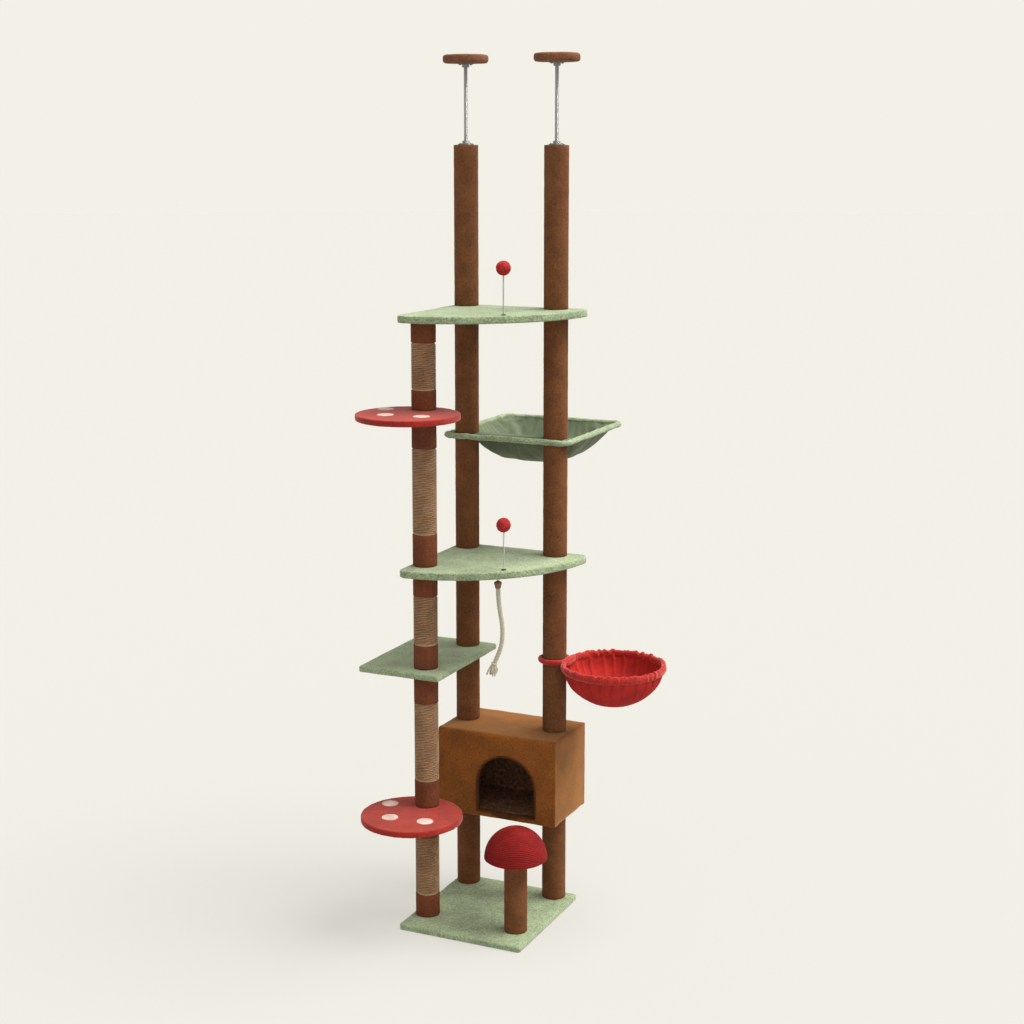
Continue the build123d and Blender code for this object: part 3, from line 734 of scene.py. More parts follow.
# ---- mushroom -----------------------------------------------------------------------------
class CATTREE_OT_mushroom(PieceMaker, bpy.types.Operator):
    """Domed cap wound in red cord from its rim to its crown"""
    bl_idname = "cattree.mushroom"
    bl_label = "Mushroom cap"

    def execute(self, context):
        low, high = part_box("mushroom_cap_winding")
        radius = (high[0] - low[0]) / 2
        width = sizes().winding
        turns = round(radius * math.pi / 2 / width)
        rim = high[2] - low[2] - radius
        profile = [(radius - 9 * MM, low[2]), (radius - 5 * MM, low[2] + 0.2 * MM)]
        slices = 5
        for step in range(turns * slices):
            along = step / slices * (rim + radius * math.pi / 2) / turns
            bulge = width / 2 * math.sin(math.pi * (step % slices) / slices) ** 0.6
            reach = radius - width / 2 + bulge
            if along < rim:
                profile.append((reach - 2 * MM * (1 - along / rim), low[2] + 1 * MM + along))
            else:
                lift = (along - rim) / radius
                profile.append((reach * math.cos(lift), low[2] + rim + reach * math.sin(lift)))
        profile.append((0, high[2] - 0.4 * MM))
        bm = turned([(0, profile[0][1])] + profile, MUSHROOM, 120, closed=False)
        # The 0.05 below darkens the cap cord's grooves: painted shade between strands.
        material = cord_winding(
            "cotton_cord_red", "#8E130F", width, 0.008, MUSHROOM, radius, sheen=0.0, groove_shade=0.05
        )
        thing = piece("mushroom_cap", bm, material, "tree", "red_cord_winding", ["mushroom_cap_winding"])
        lumpy(thing, 20 * MM, 1.0 * MM)
        settle(thing)
        dress("mushroom_cap_core", board())
        return {"FINISHED"}


# ---- house --------------------------------------------------------------------------------
class CATTREE_OT_house(PieceMaker, bpy.types.Operator):
    """Plush house cover with a piped doorway, and the furry lining inside"""
    bl_idname = "cattree.house"
    bl_label = "House"

    def execute(self, context):
        low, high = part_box("condo_plush_cover")
        bm = gridded("condo_plush_cover", 9 * MM)
        near = 7 * MM
        outer = [
            v for v in bm.verts
            if sum(min(abs(v.co[i] - low[i]), abs(v.co[i] - high[i])) < near for i in range(3)) >= 2
        ]
        for _ in range(2):
            bmesh.ops.smooth_vert(
                bm, verts=outer, factor=0.5, use_axis_x=True, use_axis_y=True, use_axis_z=True
            )
        cover = piece("house_cover", bm, tan_plush(), "tree", "brown_house_plush", ["condo_plush_cover"])
        lumpy(cover, 40 * MM, 1.6 * MM)
        lumpy(cover, 9 * MM, 1.0 * MM)
        settle(cover)
        lining = piece(
            "house_lining", gridded(
                "condo_lining", 8 * MM
            ), dark_fur(), "tree", "dark_fur_lining", ["condo_lining"]
        )
        lumpy(lining, 12 * MM, 3.5 * MM)
        settle(lining)
        self.piping(low)
        return {"FINISHED"}

    def piping(self, low):
        """A thin plush cord sewn round the doorway, in the house tan darkened to 0.62 as painted shade."""
        box_low, box_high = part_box("condo_front_panel")
        across = (box_low[0] + 30 * MM, box_high[0] - 30 * MM)
        upward = (box_low[2] + 2 * MM, box_high[2] - 10 * MM)
        corners = {
            (round(v.co.x, 5), round(v.co.z, 5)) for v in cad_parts["condo_front_panel"].data.vertices
            if across[0] < v.co.x < across[1] and upward[0] < v.co.z < upward[1]
        }
        middle_x = sum(x for x, _ in corners) / len(corners)
        middle_z = (min(z for _, z in corners) + max(z for _, z in corners)) / 2
        outline = sorted(corners, key=lambda spot: math.atan2(spot[1] - middle_z, spot[0] - middle_x))
        front = low[1] - 1.5 * MM
        path = [(x, front, z) for x, z in outline]
        # House tan at 0.62: painted shade for the piping and the doorway strip.
        material = pile("piping_plush_painted_shade", shade(colours().tan, 0.62), 0.003, 0.03, 0.0006, sheen=0.1)
        tube_through(
            "door_piping", path, 3.0 * MM, material, closed=True, body="tree", slot="brown_house_plush"
        )
        self.reveal(path, front, material)

    def reveal(self, path, front, material):
        """A plush strip folded through the doorway, over the board's cut edge and up to the floor inside, in
        the piping's darkened plush as painted shade of the doorway.
        """
        depth = 19 * MM
        bm = bmesh.new()
        rail = [bm.verts.new((x, front + 0.8 * MM, z)) for x, _, z in path]
        edges = [bm.edges.new(pair) for pair in zip(rail, rail[1:] + rail[:1])]
        swept = bmesh.ops.extrude_edge_only(bm, edges=edges)
        moved = [g for g in swept["geom"] if isinstance(g, bmesh.types.BMVert)]
        bmesh.ops.translate(bm, vec=(0, depth, 0), verts=moved)
        sill, rounding = min(z for _, _, z in path), 11 * MM
        for vertex in moved:
            share = max(0.0, 1 - (vertex.co.z - sill) / rounding)
            vertex.co.z += 10.5 * MM * share
            vertex.co.y -= 5 * MM * share
        bmesh.ops.recalc_face_normals(bm, faces=bm.faces)
        strip = piece("door_strip", bm, material, "tree", "brown_house_plush")
        thick = strip.modifiers.new("thick", "SOLIDIFY")
        thick.thickness = 2.4 * MM
        thick.offset = 0
        settle(strip)


# ---- hammock ------------------------------------------------------------------------------
class CATTREE_OT_hammock(PieceMaker, bpy.types.Operator):
    """Cloth hammock: a rolled sleeve on the rod and a sagging pocket behind the posts"""
    bl_idname = "cattree.hammock"
    bl_label = "Hammock"

    def execute(self, context):
        cloth = green_cloth()
        self.sleeve()
        self.pocket(cloth)
        return {"FINISHED"}

    def sleeve(self):
        """Boucle cloth rolled round the rod and gathered a little along it."""
        low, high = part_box("hammock_frame")
        rod = (high[2] - low[2]) / 2
        level = (high[2] + low[2]) / 2
        corner = 24 * MM
        left, right = low[0] + rod, high[0] - rod
        front, back = low[1] + rod, high[1] - rod
        corners = [
            (right - corner, front + corner, -90), (right - corner, back - corner, 0),
            (left + corner, back - corner, 90), (left + corner, front + corner, 180),
        ]
        path = []
        for x, y, start in corners:
            arc = [math.radians(start + 15 * i) for i in range(7)]
            path += [Vector((x + corner * math.cos(a), y + corner * math.sin(a), level)) for a in arc]
        dense = []
        for here, there in zip(path, path[1:] + path[:1]):
            count = max(1, round((there - here).length / (7 * MM)))
            dense += [here.lerp(there, i / count) for i in range(count)]
        roll = tube_through("hammock_rim", dense, 8.6 * MM, green_plush(), closed=True, slot="green_cloth")
        lumpy(roll, 34 * MM, 5.0 * MM)
        lumpy(roll, 6 * MM, 2.6 * MM)
        settle(roll)

    def pocket(self, cloth):
        """A sheet wider than its frame: it is sewn to the rim and hangs in folds at the corners."""
        low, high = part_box("hammock_frame")
        inset = 3 * MM
        level = (low[2] + high[2]) / 2
        span = (high[0] - low[0] - 2 * inset, high[1] - low[1] - 2 * inset)
        step = 7 * MM
        bm = bmesh.new()
        bmesh.ops.create_grid(
            bm, x_segments=round(span[0] / step), y_segments=round(span[1] / step), size=0.5,
            matrix=Matrix.Translation(((low[0] + high[0]) / 2, (low[1] + high[1]) / 2, level))
            @ Matrix.Diagonal((*span, 1, 1)),
        )
        ledge = LEFT_POST[1] + POST_RADIUS + 8 * MM
        holes = []
        for centre in (LEFT_POST, RIGHT_POST):
            for vertex in bm.verts:
                away = Vector((vertex.co.x - centre[0], vertex.co.y - centre[1]))
                if away.length < POST_RADIUS - 1 * MM:
                    holes.append(vertex)
                elif away.length < POST_RADIUS + 9 * MM:
                    away = away.normalized() * (POST_RADIUS + 0.6 * MM)
                    vertex.co.x, vertex.co.y = centre[0] + away.x, centre[1] + away.y
        bmesh.ops.delete(bm, geom=holes, context="VERTS")
        sag, slope = sizes().sag, 115 * MM
        for vertex in bm.verts:
            across = min(vertex.co.x - low[0], high[0] - vertex.co.x) - 10 * MM
            along = min(vertex.co.y - ledge, high[1] - 10 * MM - vertex.co.y)
            shares = [min(1.0, max(0.0, inward / slope)) for inward in (across, along)]
            fall = [math.sin(share * math.pi / 2) for share in shares]
            vertex.co.z -= sag * fall[0] * fall[1]
            over_bar = abs(vertex.co.y - LEFT_POST[1]) / (26 * MM)
            if over_bar < 1:
                vertex.co.z += 7 * MM * math.cos(over_bar * math.pi / 2) ** 0.5
        bm.verts.index_update()
        fixed = [v.index for v in bm.verts if v.co.z > level - 0.5 * MM]
        sling = piece("hammock_sheet", bm, cloth, "tree", "green_cloth", ["hammock_sling"])
        self.hang(sling, fixed)
        self.fold(sling, low, high, ledge)
        thick = sling.modifiers.new("thick", "SOLIDIFY")
        thick.thickness = 3 * MM
        thick.offset = 0
        fine = sling.modifiers.new("fine", "SUBSURF")
        fine.levels = fine.render_levels = 1
        settle(sling)
        lumpy(sling, 7 * MM, 0.6 * MM)
        settle(sling)

    def fold(self, sling, low, high, ledge):
        """Pinch the spare cloth of each corner into a ridge with a hollow beside it."""
        corners = [(x, y, along, across) for x, along in ((low[0], 1), (high[0], -1))
                   for y, across in ((ledge, 1), (high[1], -1))]
        for vertex in sling.data.vertices:
            for x, y, along, across in corners:
                inward = ((vertex.co.x - x) * along + (vertex.co.y - y) * across) / math.sqrt(2)
                aside = ((vertex.co.x - x) * along - (vertex.co.y - y) * across) / math.sqrt(2)
                weight = max(0.0, 1 - abs(inward - 85 * MM) / (70 * MM))
                ridge = math.exp(-(aside / (11 * MM)) ** 2)
                hollow = math.exp(-((aside - 24 * MM) / (12 * MM)) ** 2)
                vertex.co.z += weight * (12 * ridge - 7 * hollow) * MM

    def hang(self, sling, fixed):
        """Let the pocket hang under its own weight, with a crumple seeded in its corners."""
        for vertex in sling.data.vertices:
            if vertex.index not in fixed:
                vertex.co.z += 2.5 * MM * noise.noise(vertex.co / (25 * MM))
        group = sling.vertex_groups.new(name="sewn")
        group.add(fixed, 1.0, "REPLACE")
        hang = sling.modifiers.new("hang", "CLOTH")
        hang.settings.vertex_group_mass = "sewn"
        hang.settings.quality = 6
        hang.settings.mass = 0.2
        hang.settings.tension_stiffness = 20
        hang.settings.compression_stiffness = 12
        hang.settings.bending_stiffness = 0.4
        hang.settings.shrink_min = -0.05
        hang.point_cache.frame_start = 1
        hang.point_cache.frame_end = 26
        for step in range(1, 27):
            bpy.context.scene.frame_set(step)
        settle(sling)
        bpy.context.scene.frame_set(1)
        sling.vertex_groups.clear()


# ---- nest ---------------------------------------------------------------------------------
class CATTREE_OT_nest(PieceMaker, bpy.types.Operator):
    """Hanging nest: cloth gathered in pleats below a ruffled rim, and a covered loop at the post"""
    bl_idname = "cattree.nest"
    bl_label = "Nest"

    def execute(self, context):
        cloth, casing = red_cloth(), red_casing()
        low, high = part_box("nest_bowl")
        radius = (high[1] - low[1]) / 2
        centre = (low[1] + high[1]) / 2
        self.axis = (high[0] - radius, centre)
        self.radius = radius
        self.level = (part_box("nest_ring")[0][2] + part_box("nest_ring")[1][2]) / 2
        self.depth = self.level - low[2]
        self.bowl(cloth)
        self.rim(casing)
        self.loop(casing)
        return {"FINISHED"}

    def bowl(self, cloth):
        """A deep dish whose pleats are strong under the rim and fade towards the bottom."""
        reach, rows = self.radius - 8 * MM, 26
        profile = []
        for row in range(rows + 1):
            share = row / rows
            height = self.level - self.depth * math.sin(share * math.pi / 2)
            profile.append((reach * math.cos(share * math.pi / 2) ** 1.1, height))
        profile[-1] = (0, profile[-1][1])
        bm = turned(profile, self.axis, 360, closed=False)
        pleats = sizes().pleats
        for vertex in bm.verts:
            x, y = vertex.co.x - self.axis[0], vertex.co.y - self.axis[1]
            around, away = math.atan2(y, x), math.hypot(x, y)
            if away < 1 * MM:
                continue
            fall = (self.level - vertex.co.z) / self.depth
            wander = 1.6 * noise.noise(Vector((3 * math.cos(around), 3 * math.sin(around), 0.7 * fall)))
            crease = 1 - abs(math.sin((pleats * around + 2.2 * wander) / 2))
            strength = 9.0 * MM * (1 - fall) ** 0.6 * min(1.0, 0.35 + 6 * fall)
            strength *= 0.6 + 0.8 * abs(noise.noise(Vector((2 * math.cos(around), 2 * math.sin(around), 5))))
            push = -crease ** 2.5 * strength + 2.5 * MM * noise.noise(vertex.co / (45 * MM))
            vertex.co.x += x / away * push
            vertex.co.y += y / away * push
        bowl = piece("nest_cloth", bm, cloth, "nest", "red_cloth", ["nest_bowl"])
        thick = bowl.modifiers.new("thick", "SOLIDIFY")
        thick.thickness = 4 * MM
        thick.offset = -1
        settle(bowl)
        lumpy(bowl, 8 * MM, 0.8 * MM)
        settle(bowl)

    def rim(self, cloth):
        """Cloth rolled over the ring and frilled along its upper edge."""
        ring = self.radius - 8 * MM
        section = [(7.5 * math.cos(a), 12.5 * math.sin(a)) for a in [FULL_TURN * i / 20 for i in range(20)]]
        bm = turned([(ring + x * MM, self.level - 2 * MM + z * MM) for x, z in section], self.axis, 320)
        for vertex in bm.verts:
            x, y = vertex.co.x - self.axis[0], vertex.co.y - self.axis[1]
            around, away = math.atan2(y, x), math.hypot(x, y)
            ruffle = noise.noise(Vector((14 * math.cos(around), 14 * math.sin(around), 0)))
            frill = noise.noise(Vector((34 * math.cos(around), 34 * math.sin(around), 3)))
            upper = max(0.0, vertex.co.z - self.level) / (8 * MM)
            vertex.co.z += 4.5 * MM * upper * (ruffle + 0.5 * frill)
            out = 3.0 * MM * (ruffle + 0.8 * frill)
            vertex.co.x += x / away * out
            vertex.co.y += y / away * out
        saddle = bmesh.new()
        place = Matrix.Translation((RIGHT_POST[0] + POST_RADIUS + 13 * MM, RIGHT_POST[1], self.level))
        bmesh.ops.create_icosphere(
            saddle, subdivisions=4, radius=1, matrix=place @ Matrix.Diagonal((0.011, 0.046, 0.012, 1))
        )
        upholster(
            "nest_rim", joined(bm, saddle), cloth, 2.6 * MM, (14 * MM, 2.2 * MM), (5 * MM, 2.0 * MM),
            "nest", "red_cloth", rounds=1,
        )

    def loop(self, cloth):
        """Cloth wrapped round the small loop at the post."""
        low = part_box("nest_ring")[0]
        reach = RIGHT_POST[0] - low[0] - 4 * MM
        section = [FULL_TURN * i / 14 for i in range(14)]
        profile = [
            (reach + 1 * MM + 7 * MM * math.cos(a), self.level + 8 * MM * math.sin(a)) for a in section
        ]
        loop = piece("nest_loop_cover", turned(profile, RIGHT_POST, 96), cloth, "nest", "red_cloth")
        lumpy(loop, 10 * MM, 2.0 * MM)
        settle(loop)


# ---- toys ---------------------------------------------------------------------------------
class CATTREE_OT_toys(PieceMaker, bpy.types.Operator):
    """Plush balls on coil springs rising from the shelf; each ball rides its toy's body, the coils stay fixed
    """
    bl_idname = "cattree.toys"
    bl_label = "Spring toys"

    def execute(self, context):
        steel = metal("drawn_spring_steel", "#C4C4C0", 0.35)
        plush = pile(
            "pompom_plush_red", "#A02C29", 0.003, 0.02, 0.0012, contrast=0.3, sheen=0.5, strength=1.0
        )
        for toy in TOYS:
            low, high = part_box(f"{toy}_ball")
            radius = (high[0] - low[0]) / 2
            centre = [(low[i] + high[i]) / 2 for i in (0, 1)] + [high[2] - radius]
            ball = bmesh.new()
            bmesh.ops.create_icosphere(
                ball, subdivisions=3, radius=radius - 0.5 * MM, matrix=Matrix.Translation(centre)
            )
            soft = upholster(
                f"{toy}_pompom", ball, plush, 1.6 * MM, (12 * MM, 1.5 * MM), (3.5 * MM, 2.6 * MM),
                toy, "pompom_plush", [f"{toy}_ball"], rounds=1,
            )
            self.spring(toy, steel)
        dress("toy_sockets", moulded("moulded_nylon_black", "#232323"))
        return {"FINISHED"}

    def spring(self, toy, steel):
        """A close coil of fine wire."""
        low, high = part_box(f"{toy}_spring")
        foot = middle(f"{toy}_spring")
        coil = coiled(foot, 2.1 * MM, low[2], high[2], 0.6 * MM, 2.2 * MM, steps=14, sides=6)
        thing = piece(f"{toy}_coil", coil, steel, None, "spring_steel", [f"{toy}_spring"])
        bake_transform(thing)


# ---- rope ---------------------------------------------------------------------------------
STRAND_RADIUS = 3.75 * MM
STRAND_LAY = 3.3 * MM         # strand centres from the rope's centre
STRAND_PITCH = 30 * MM
ROPE_FOOT = (0.065, -0.074)
SWING_WAY = (0.908, 0.419)
# height and sideways swing of each point of the hanging rope, in millimetres
ROPE_ROUTE = [(1064, 0), (1030, 0.5), (988, 5), (936, 14), (886, 12), (850, 0), (821, -13)]


def rope_point(height, swing):
    """A point of the rope from its height and its sideways swing."""
    return Vector(
        (ROPE_FOOT[0] + swing * MM * SWING_WAY[0], ROPE_FOOT[1] + swing * MM * SWING_WAY[1], height * MM)
    )


def smooth_line(points):
    """A NURBS curve that follows a cord's route."""
    data = bpy.data.curves.new("route", "CURVE")
    data.dimensions = "3D"
    data.resolution_u = 16
    spline = data.splines.new("NURBS")
    spline.points.add(len(points) - 1)
    for target, point in zip(spline.points, points):
        target.co = (*point, 1)
    spline.order_u = 3
    spline.use_endpoint_u = True
    line = bpy.data.objects.new("route", data)
    bpy.context.scene.collection.objects.link(line)
    bpy.context.view_layer.update()
    mesh = bpy.data.meshes.new_from_object(line.evaluated_get(bpy.context.evaluated_depsgraph_get()))
    path = [v.co.copy() for v in mesh.vertices]
    bpy.data.objects.remove(line)
    return path


class CATTREE_OT_rope(PieceMaker, bpy.types.Operator):
    """Three-strand cotton rope with a bound, frayed end, hung from a screw eye"""
    bl_idname = "cattree.rope"
    bl_label = "Play rope"

    def execute(self, context):
        yarn = cotton()
        path = smooth_line([rope_point(*place) for place in ROPE_ROUTE])
        strands = []
        dense = []
        for here, there in zip(path, path[1:]):
            count = max(1, round((there - here).length / (2.2 * MM)))
            dense += [here.lerp(there, i / count) for i in range(count)]
        dense.append(path[-1])
        for strand in range(3):
            travelled, points = 0.0, []
            for here, there in zip(dense, dense[1:] + [dense[-1] * 2 - dense[-2]]):
                ahead = (there - here).normalized()
                side = ahead.cross(Vector((0, 1, 0))).normalized()
                front = ahead.cross(side)
                turn = FULL_TURN * (travelled / STRAND_PITCH + strand / 3)
                points.append(here + STRAND_LAY * (math.cos(turn) * side + math.sin(turn) * front))
                travelled += (there - here).length
            strands.append(points)
        rope = self.laid(strands, yarn)
        tassel = self.tassel(path, yarn)
        ferrule = self.ferrule()
        self.eye()
        return {"FINISHED"}

    def laid(self, strands, yarn):
        """Three round strands laid together."""
        parts = [
            tube_through(f"strand_{i}", points, STRAND_RADIUS, yarn, body=None) for i,
            points in enumerate(strands)
        ]
        whole = bmesh.new()
        for part in parts:
            whole.from_mesh(part.data)
            bpy.data.objects.remove(part)
        return piece("rope_strands", whole, yarn, "rope", "cotton_rope", ["play_rope"])

    def tassel(self, path, yarn):
        """The rope's end opened out into curling yarns under a tight binding."""
        random.seed(11)
        end = path[-1]
        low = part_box("play_rope_tassel")[0][2]
        foot = rope_point(785, -17)
        parts = []
        for number in range(15):
            around = FULL_TURN * number / 15 + random.uniform(-0.2, 0.2)
            spread = random.uniform(5, 17) * MM
            drop = low + random.uniform(0, 9) * MM
            out = Vector((math.cos(around), math.sin(around), 0))
            start = end + 3.5 * MM * out + Vector((0, 0, 4 * MM))
            belly = (start + foot) / 2 + out * (spread * 0.9) + Vector((0, 0, 2 * MM))
            tip = Vector((foot.x, foot.y, drop)) + out * spread
            curl = tip + out * random.uniform(-7, 3) * MM + Vector((0, 0, random.uniform(3, 9) * MM))
            line = smooth_line([start, belly, tip, curl])
            parts.append(tube_through(f"yarn_{number}", line, 2.0 * MM, yarn, body=None))
        angles = [FULL_TURN * i / 10 for i in range(10)]
        binding = [(7.4 * MM + 1.6 * MM * math.cos(a), 2.4 * MM * math.sin(a)) for a in angles]
        ring = turned(binding, (0, 0), 32)
        way = (path[-1] - path[-4]).normalized()
        tilt = Vector((0, 0, -1)).rotation_difference(way).to_matrix().to_4x4()
        bmesh.ops.transform(ring, matrix=Matrix.Translation(end - way * 4 * MM) @ tilt, verts=ring.verts)
        whole = joined(ring)
        for part in parts:
            whole.from_mesh(part.data)
            bpy.data.objects.remove(part)
        return piece("rope_tassel", whole, yarn, "rope", "cotton_rope", ["play_rope_tassel"])

    def ferrule(self):
        """A tapered cap on the rope's upper end."""
        low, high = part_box("rope_ferrule")
        top, foot = high[2], low[2]
        profile = [
            (1.5 * MM, top + 1 * MM), (5 * MM, top), (9 * MM, top - 2 * MM), (11.6 * MM, top - 4.6 * MM),
            (11.8 * MM, top - 6.6 * MM), (11 * MM, top - 8 * MM), (8.7 * MM, foot + 3 * MM), (8.2 * MM, foot),
            (7.2 * MM, foot + 0.3 * MM), (7.1 * MM, top - 9 * MM), (1.5 * MM, top - 8 * MM),
        ]
        material = moulded("moulded_cap_brown", "#7A5838", 0.6)
        return piece(
            "rope_cap", turned(profile, ROPE_FOOT, 48), material, "rope", "brown_plastic", ["rope_ferrule"]
        )

    def eye(self):
        """The screw eye that the rope hangs from."""
        steel = metal("zinc_plated_steel", "#B9BCC0", 0.4)
        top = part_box("middle_shelf_plush")[0][2]
        hang = [FULL_TURN * i / 24 for i in range(24)]
        ring = [
            (ROPE_FOOT[0] + 3.4 * MM * math.cos(a), ROPE_FOOT[1], top - 6 * MM + 3.4 * MM * math.sin(a))
            for a in hang
        ]
        tube_through("rope_eye", ring, 1.0 * MM, steel, closed=True, body="tree", slot="zinc_steel")
        shank = [(0, top + 2 * MM), (1.3 * MM, top + 2 * MM), (1.3 * MM, top - 3 * MM), (0, top - 3 * MM)]
        piece("rope_eye_shank", turned(shank, ROPE_FOOT, 16, closed=False), steel, "tree", "zinc_steel")


# ---- ceiling jacks --------------------------------------------------------------------------
class CATTREE_OT_jacks(PieceMaker, bpy.types.Operator):
    """Threaded rods, flanges and plush ceiling pads"""
    bl_idname = "cattree.jacks"
    bl_label = "Ceiling jacks"

    def execute(self, context):
        steel = metal("rolled_thread_steel", "#B4B3AE", 0.3)
        plate = metal("nickel_plated_steel", "#85837E", 0.42)
        felt = pile("short_pile_plush_pad", "#744C36", 0.004, 0.04, 0.0010, sheen=0.25)
        for side, centre in (("left", LEFT_POST), ("right", RIGHT_POST)):
            self.thread(side, centre, steel)
            self.pad(side, felt)
            flange = self.flange(centre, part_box(f"{side}_pad_flange")[1][2], -1)
            piece(f"{side}_pad_plate", flange, plate, f"{side}_jack", "plated_steel", [f"{side}_pad_flange"])
            socket = self.flange(centre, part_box("jack_sockets")[0][2], 1)
            thing = piece(f"{side}_socket_plate", socket, plate, "tree", "plated_steel")
            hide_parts("jack_sockets")
        return {"FINISHED"}

    def thread(self, side, centre, steel):
        """A rolled thread: one tooth carried round and up."""
        low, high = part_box(f"{side}_jack_rod")
        crest = (high[0] - low[0]) / 2
        pitch, steps = sizes().thread, 20
        root = crest - 0.6 * pitch
        turns = int((high[2] - low[2]) / pitch) - 1
        bm = bmesh.new()
        tooth = [(root, 0), (crest, 0.4), (crest, 0.55), (root, 0.95), (root, 1.0)]
        points = [bm.verts.new((centre[0] + r, centre[1], low[2] + share * pitch)) for r, share in tooth]
        edges = [bm.edges.new(pair) for pair in zip(points, points[1:])]
        bmesh.ops.spin(
            bm, geom=points + edges, cent=(*centre, 0), axis=(0, 0, 1), dvec=(0, 0, pitch / steps),
            angle=FULL_TURN, steps=steps,
        )
        rod = stacked(bm, pitch, turns)
        piece(f"{side}_threaded_rod", rod, steel, f"{side}_jack", "threaded_steel", [f"{side}_jack_rod"])

    def flange(self, centre, seat, way):
        """A round plate on its seat, with a collar and four pan-head screws."""
        shape = [
            (6.1, 0), (24, 0), (24, 2), (23.4, 2.8), (11.5, 3), (10.8, 3.6), (10.5, 11.4), (9.9, 12),
            (6.1, 12)
        ]
        parts = [turned([(r * MM, seat + way * h * MM) for r, h in shape], centre, 48)]
        head = [(0, 2.9), (4, 2.9), (4, 4.2), (3.2, 5.3), (1.8, 5.8), (0.9, 5.8), (0.7, 5.0), (0, 5.0)]
        for quarter in range(4):
            turn = math.radians(45 + 90 * quarter)
            place = (centre[0] + 17 * MM * math.cos(turn), centre[1] + 17 * MM * math.sin(turn))
            parts.append(turned([(r * MM, seat + way * h * MM) for r, h in head], place, 20, closed=False))
        return joined(*parts)

    def pad(self, side, felt):
        """A wooden disc wrapped in plush, gathered over its rim."""
        node = f"{side}_ceiling_pad"
        thing = upholster(
            f"{side}_pad_cover", hull_of(node), felt, 2.6 * MM, (30 * MM, 1.2 * MM), (5 * MM, 0.9 * MM),
            f"{side}_jack", "pad_plush", [node], rounds=10,
        )


# ---- boards and fittings ----------------------------------------------------------------------
class CATTREE_OT_fittings(PieceMaker, bpy.types.Operator):
    """Finishes of the frame parts that keep their own shape"""
    bl_idname = "cattree.fittings"
    bl_label = "Boards and fittings"

    def execute(self, context):
        chip = board()
        for node in ("base_board", "shelf_boards", "condo_front_panel", "condo_panels"):
            dress(node, chip)
        zinc = metal("zinc_plated_fasteners", "#B4B7BB", 0.4)
        for node in ("panel_bolts", "joining_studs"):
            dress(node, zinc)
        black = metal("powder_coated_steel", "#3A3A3C", 0.5)
        for node in ("hammock_frame", "nest_ring"):
            dress(node, black)
        dress("post_tubes", card())
        dress("post_end_plugs", moulded("moulded_polypropylene_black", "#1E1E1F"))
        dress("base_liner", black_felt())
        return {"FINISHED"}


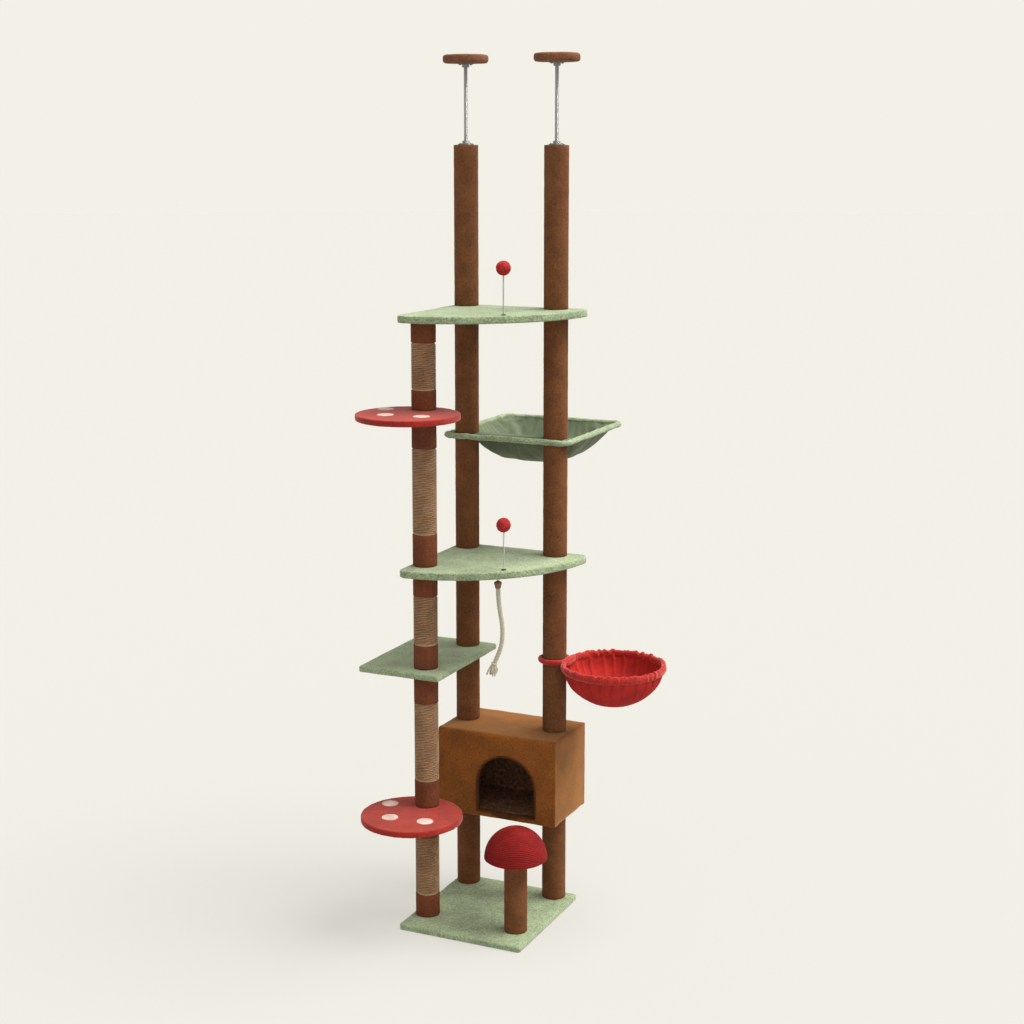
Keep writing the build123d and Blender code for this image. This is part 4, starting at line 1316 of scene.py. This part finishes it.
# ---- stage ----------------------------------------------------------------------------------
class CATTREE_OT_stage(PieceMaker, bpy.types.Operator):
    """Pale floor, soft studio light and the camera"""
    bl_idname = "cattree.stage"
    bl_label = "Stage"

    def execute(self, context):
        self.floor()
        self.lights()
        self.camera(context)
        return {"FINISHED"}

    def floor(self):
        """A wide plain floor, and a plain pale wall far behind it on every side."""
        pale = colour("#F3F0E7")
        bm = bmesh.new()
        bmesh.ops.create_grid(bm, x_segments=4, y_segments=4, size=60)
        material, tree = blank("seamless_paper")
        paper = add(tree, "ShaderNodeBsdfDiffuse", {"Color": colour("#6A6965")})
        glow = add(tree, "ShaderNodeEmission", {"Color": pale, "Strength": 0.62})
        both = add(tree, "ShaderNodeAddShader", {0: paper.outputs["BSDF"], 1: glow.outputs["Emission"]})
        add(tree, "ShaderNodeOutputMaterial", {"Surface": both.outputs["Shader"]})
        self.scenery("studio_floor", bm, material)
        bm = bmesh.new()
        bmesh.ops.create_cone(bm, segments=96, radius1=58, radius2=58, depth=40, cap_ends=False)
        bmesh.ops.reverse_faces(bm, faces=bm.faces)
        material, tree = blank("lit_paper_wall")
        shader = add(tree, "ShaderNodeEmission", {"Color": pale, "Strength": 1.0})
        add(tree, "ShaderNodeOutputMaterial", {"Surface": shader.outputs["Emission"]})
        self.scenery("studio_wall", bm, material)

    def scenery(self, name, bm, material):
        """A stage object that the camera sees but that throws no light back on the tree."""
        mesh = bpy.data.meshes.new(name)
        bm.to_mesh(mesh)
        bm.free()
        thing = bpy.data.objects.new(name, mesh)
        bpy.context.scene.collection.objects.link(thing)
        mesh.materials.append(material)
        thing.visible_diffuse = False
        thing.visible_glossy = False
        thing.visible_shadow = False

    def lights(self):
        """A broad key high on the right, a weak front fill and an even pale surround."""
        self.sun("key_sun", (0.96, 0.50, 2.00), 5.3, 44)
        self.sun("fill_sun", (0.90, -0.75, 0.55), 0.7, 90)
        world = bpy.data.worlds.new("surround")
        world.use_nodes = True
        world.node_tree.nodes["Background"].inputs["Color"].default_value = (1.0, 0.985, 0.96, 1.0)
        world.node_tree.nodes["Background"].inputs["Strength"].default_value = 0.75
        bpy.context.scene.world = world
        bpy.context.scene.view_settings.view_transform = "Standard"

    def sun(self, name, toward, strength, spread):
        """A distant light from one direction, softened by its spread in degrees."""
        data = bpy.data.lights.new(name, "SUN")
        data.energy = strength
        data.angle = math.radians(spread)
        lamp = bpy.data.objects.new(name, data)
        lamp.rotation_euler = Vector(toward).to_track_quat("Z", "Y").to_euler()
        bpy.context.scene.collection.objects.link(lamp)

    def camera(self, context):
        """Just above head height, turned towards the house's right side."""
        data = bpy.data.cameras.new("camera")
        data.sensor_width = 36
        data.lens = 64.924
        data.shift_y = -0.05
        camera = bpy.data.objects.new("camera", data)
        camera.location = (2.3096, -4.8397, 2.3428)
        camera.rotation_euler = (math.radians(90 - 9.809), 0, math.radians(24.773))
        context.scene.collection.objects.link(camera)
        context.scene.camera = camera


class CATTREE_PT_panel(bpy.types.Panel):
    """Lists the makers in the sidebar"""
    bl_label = "Cat Tree"
    bl_idname = "CATTREE_PT_panel"
    bl_space_type = "VIEW_3D"
    bl_region_type = "UI"
    bl_category = "Cat Tree"

    def draw(self, context):
        for maker in MAKERS:
            self.layout.operator(maker.bl_idname)
        for group in (context.scene.cat_tree_sizes, context.scene.cat_tree_colours):
            for name in group.__annotations__:
                self.layout.prop(group, name)


MAKERS = (
    CATTREE_OT_stage, CATTREE_OT_rope, CATTREE_OT_posts, CATTREE_OT_sisal, CATTREE_OT_shelves,
    CATTREE_OT_discs,
    CATTREE_OT_mushroom, CATTREE_OT_house, CATTREE_OT_hammock, CATTREE_OT_nest, CATTREE_OT_toys,
    CATTREE_OT_jacks, CATTREE_OT_fittings,
)
CLASSES = (CatTreeColours, CatTreeSizes, *MAKERS, CATTREE_PT_panel)


def register():
    for item in CLASSES:
        bpy.utils.register_class(item)
    bpy.types.Scene.cat_tree_colours = bpy.props.PointerProperty(type=CatTreeColours)
    bpy.types.Scene.cat_tree_sizes = bpy.props.PointerProperty(type=CatTreeSizes)


def unregister():
    del bpy.types.Scene.cat_tree_sizes
    del bpy.types.Scene.cat_tree_colours
    for item in reversed(CLASSES):
        bpy.utils.unregister_class(item)


def main():
    register()
    for maker in MAKERS:
        group, call = maker.bl_idname.split(".")
        getattr(getattr(bpy.ops, group), call)()


if __name__ == "__main__":
    main()
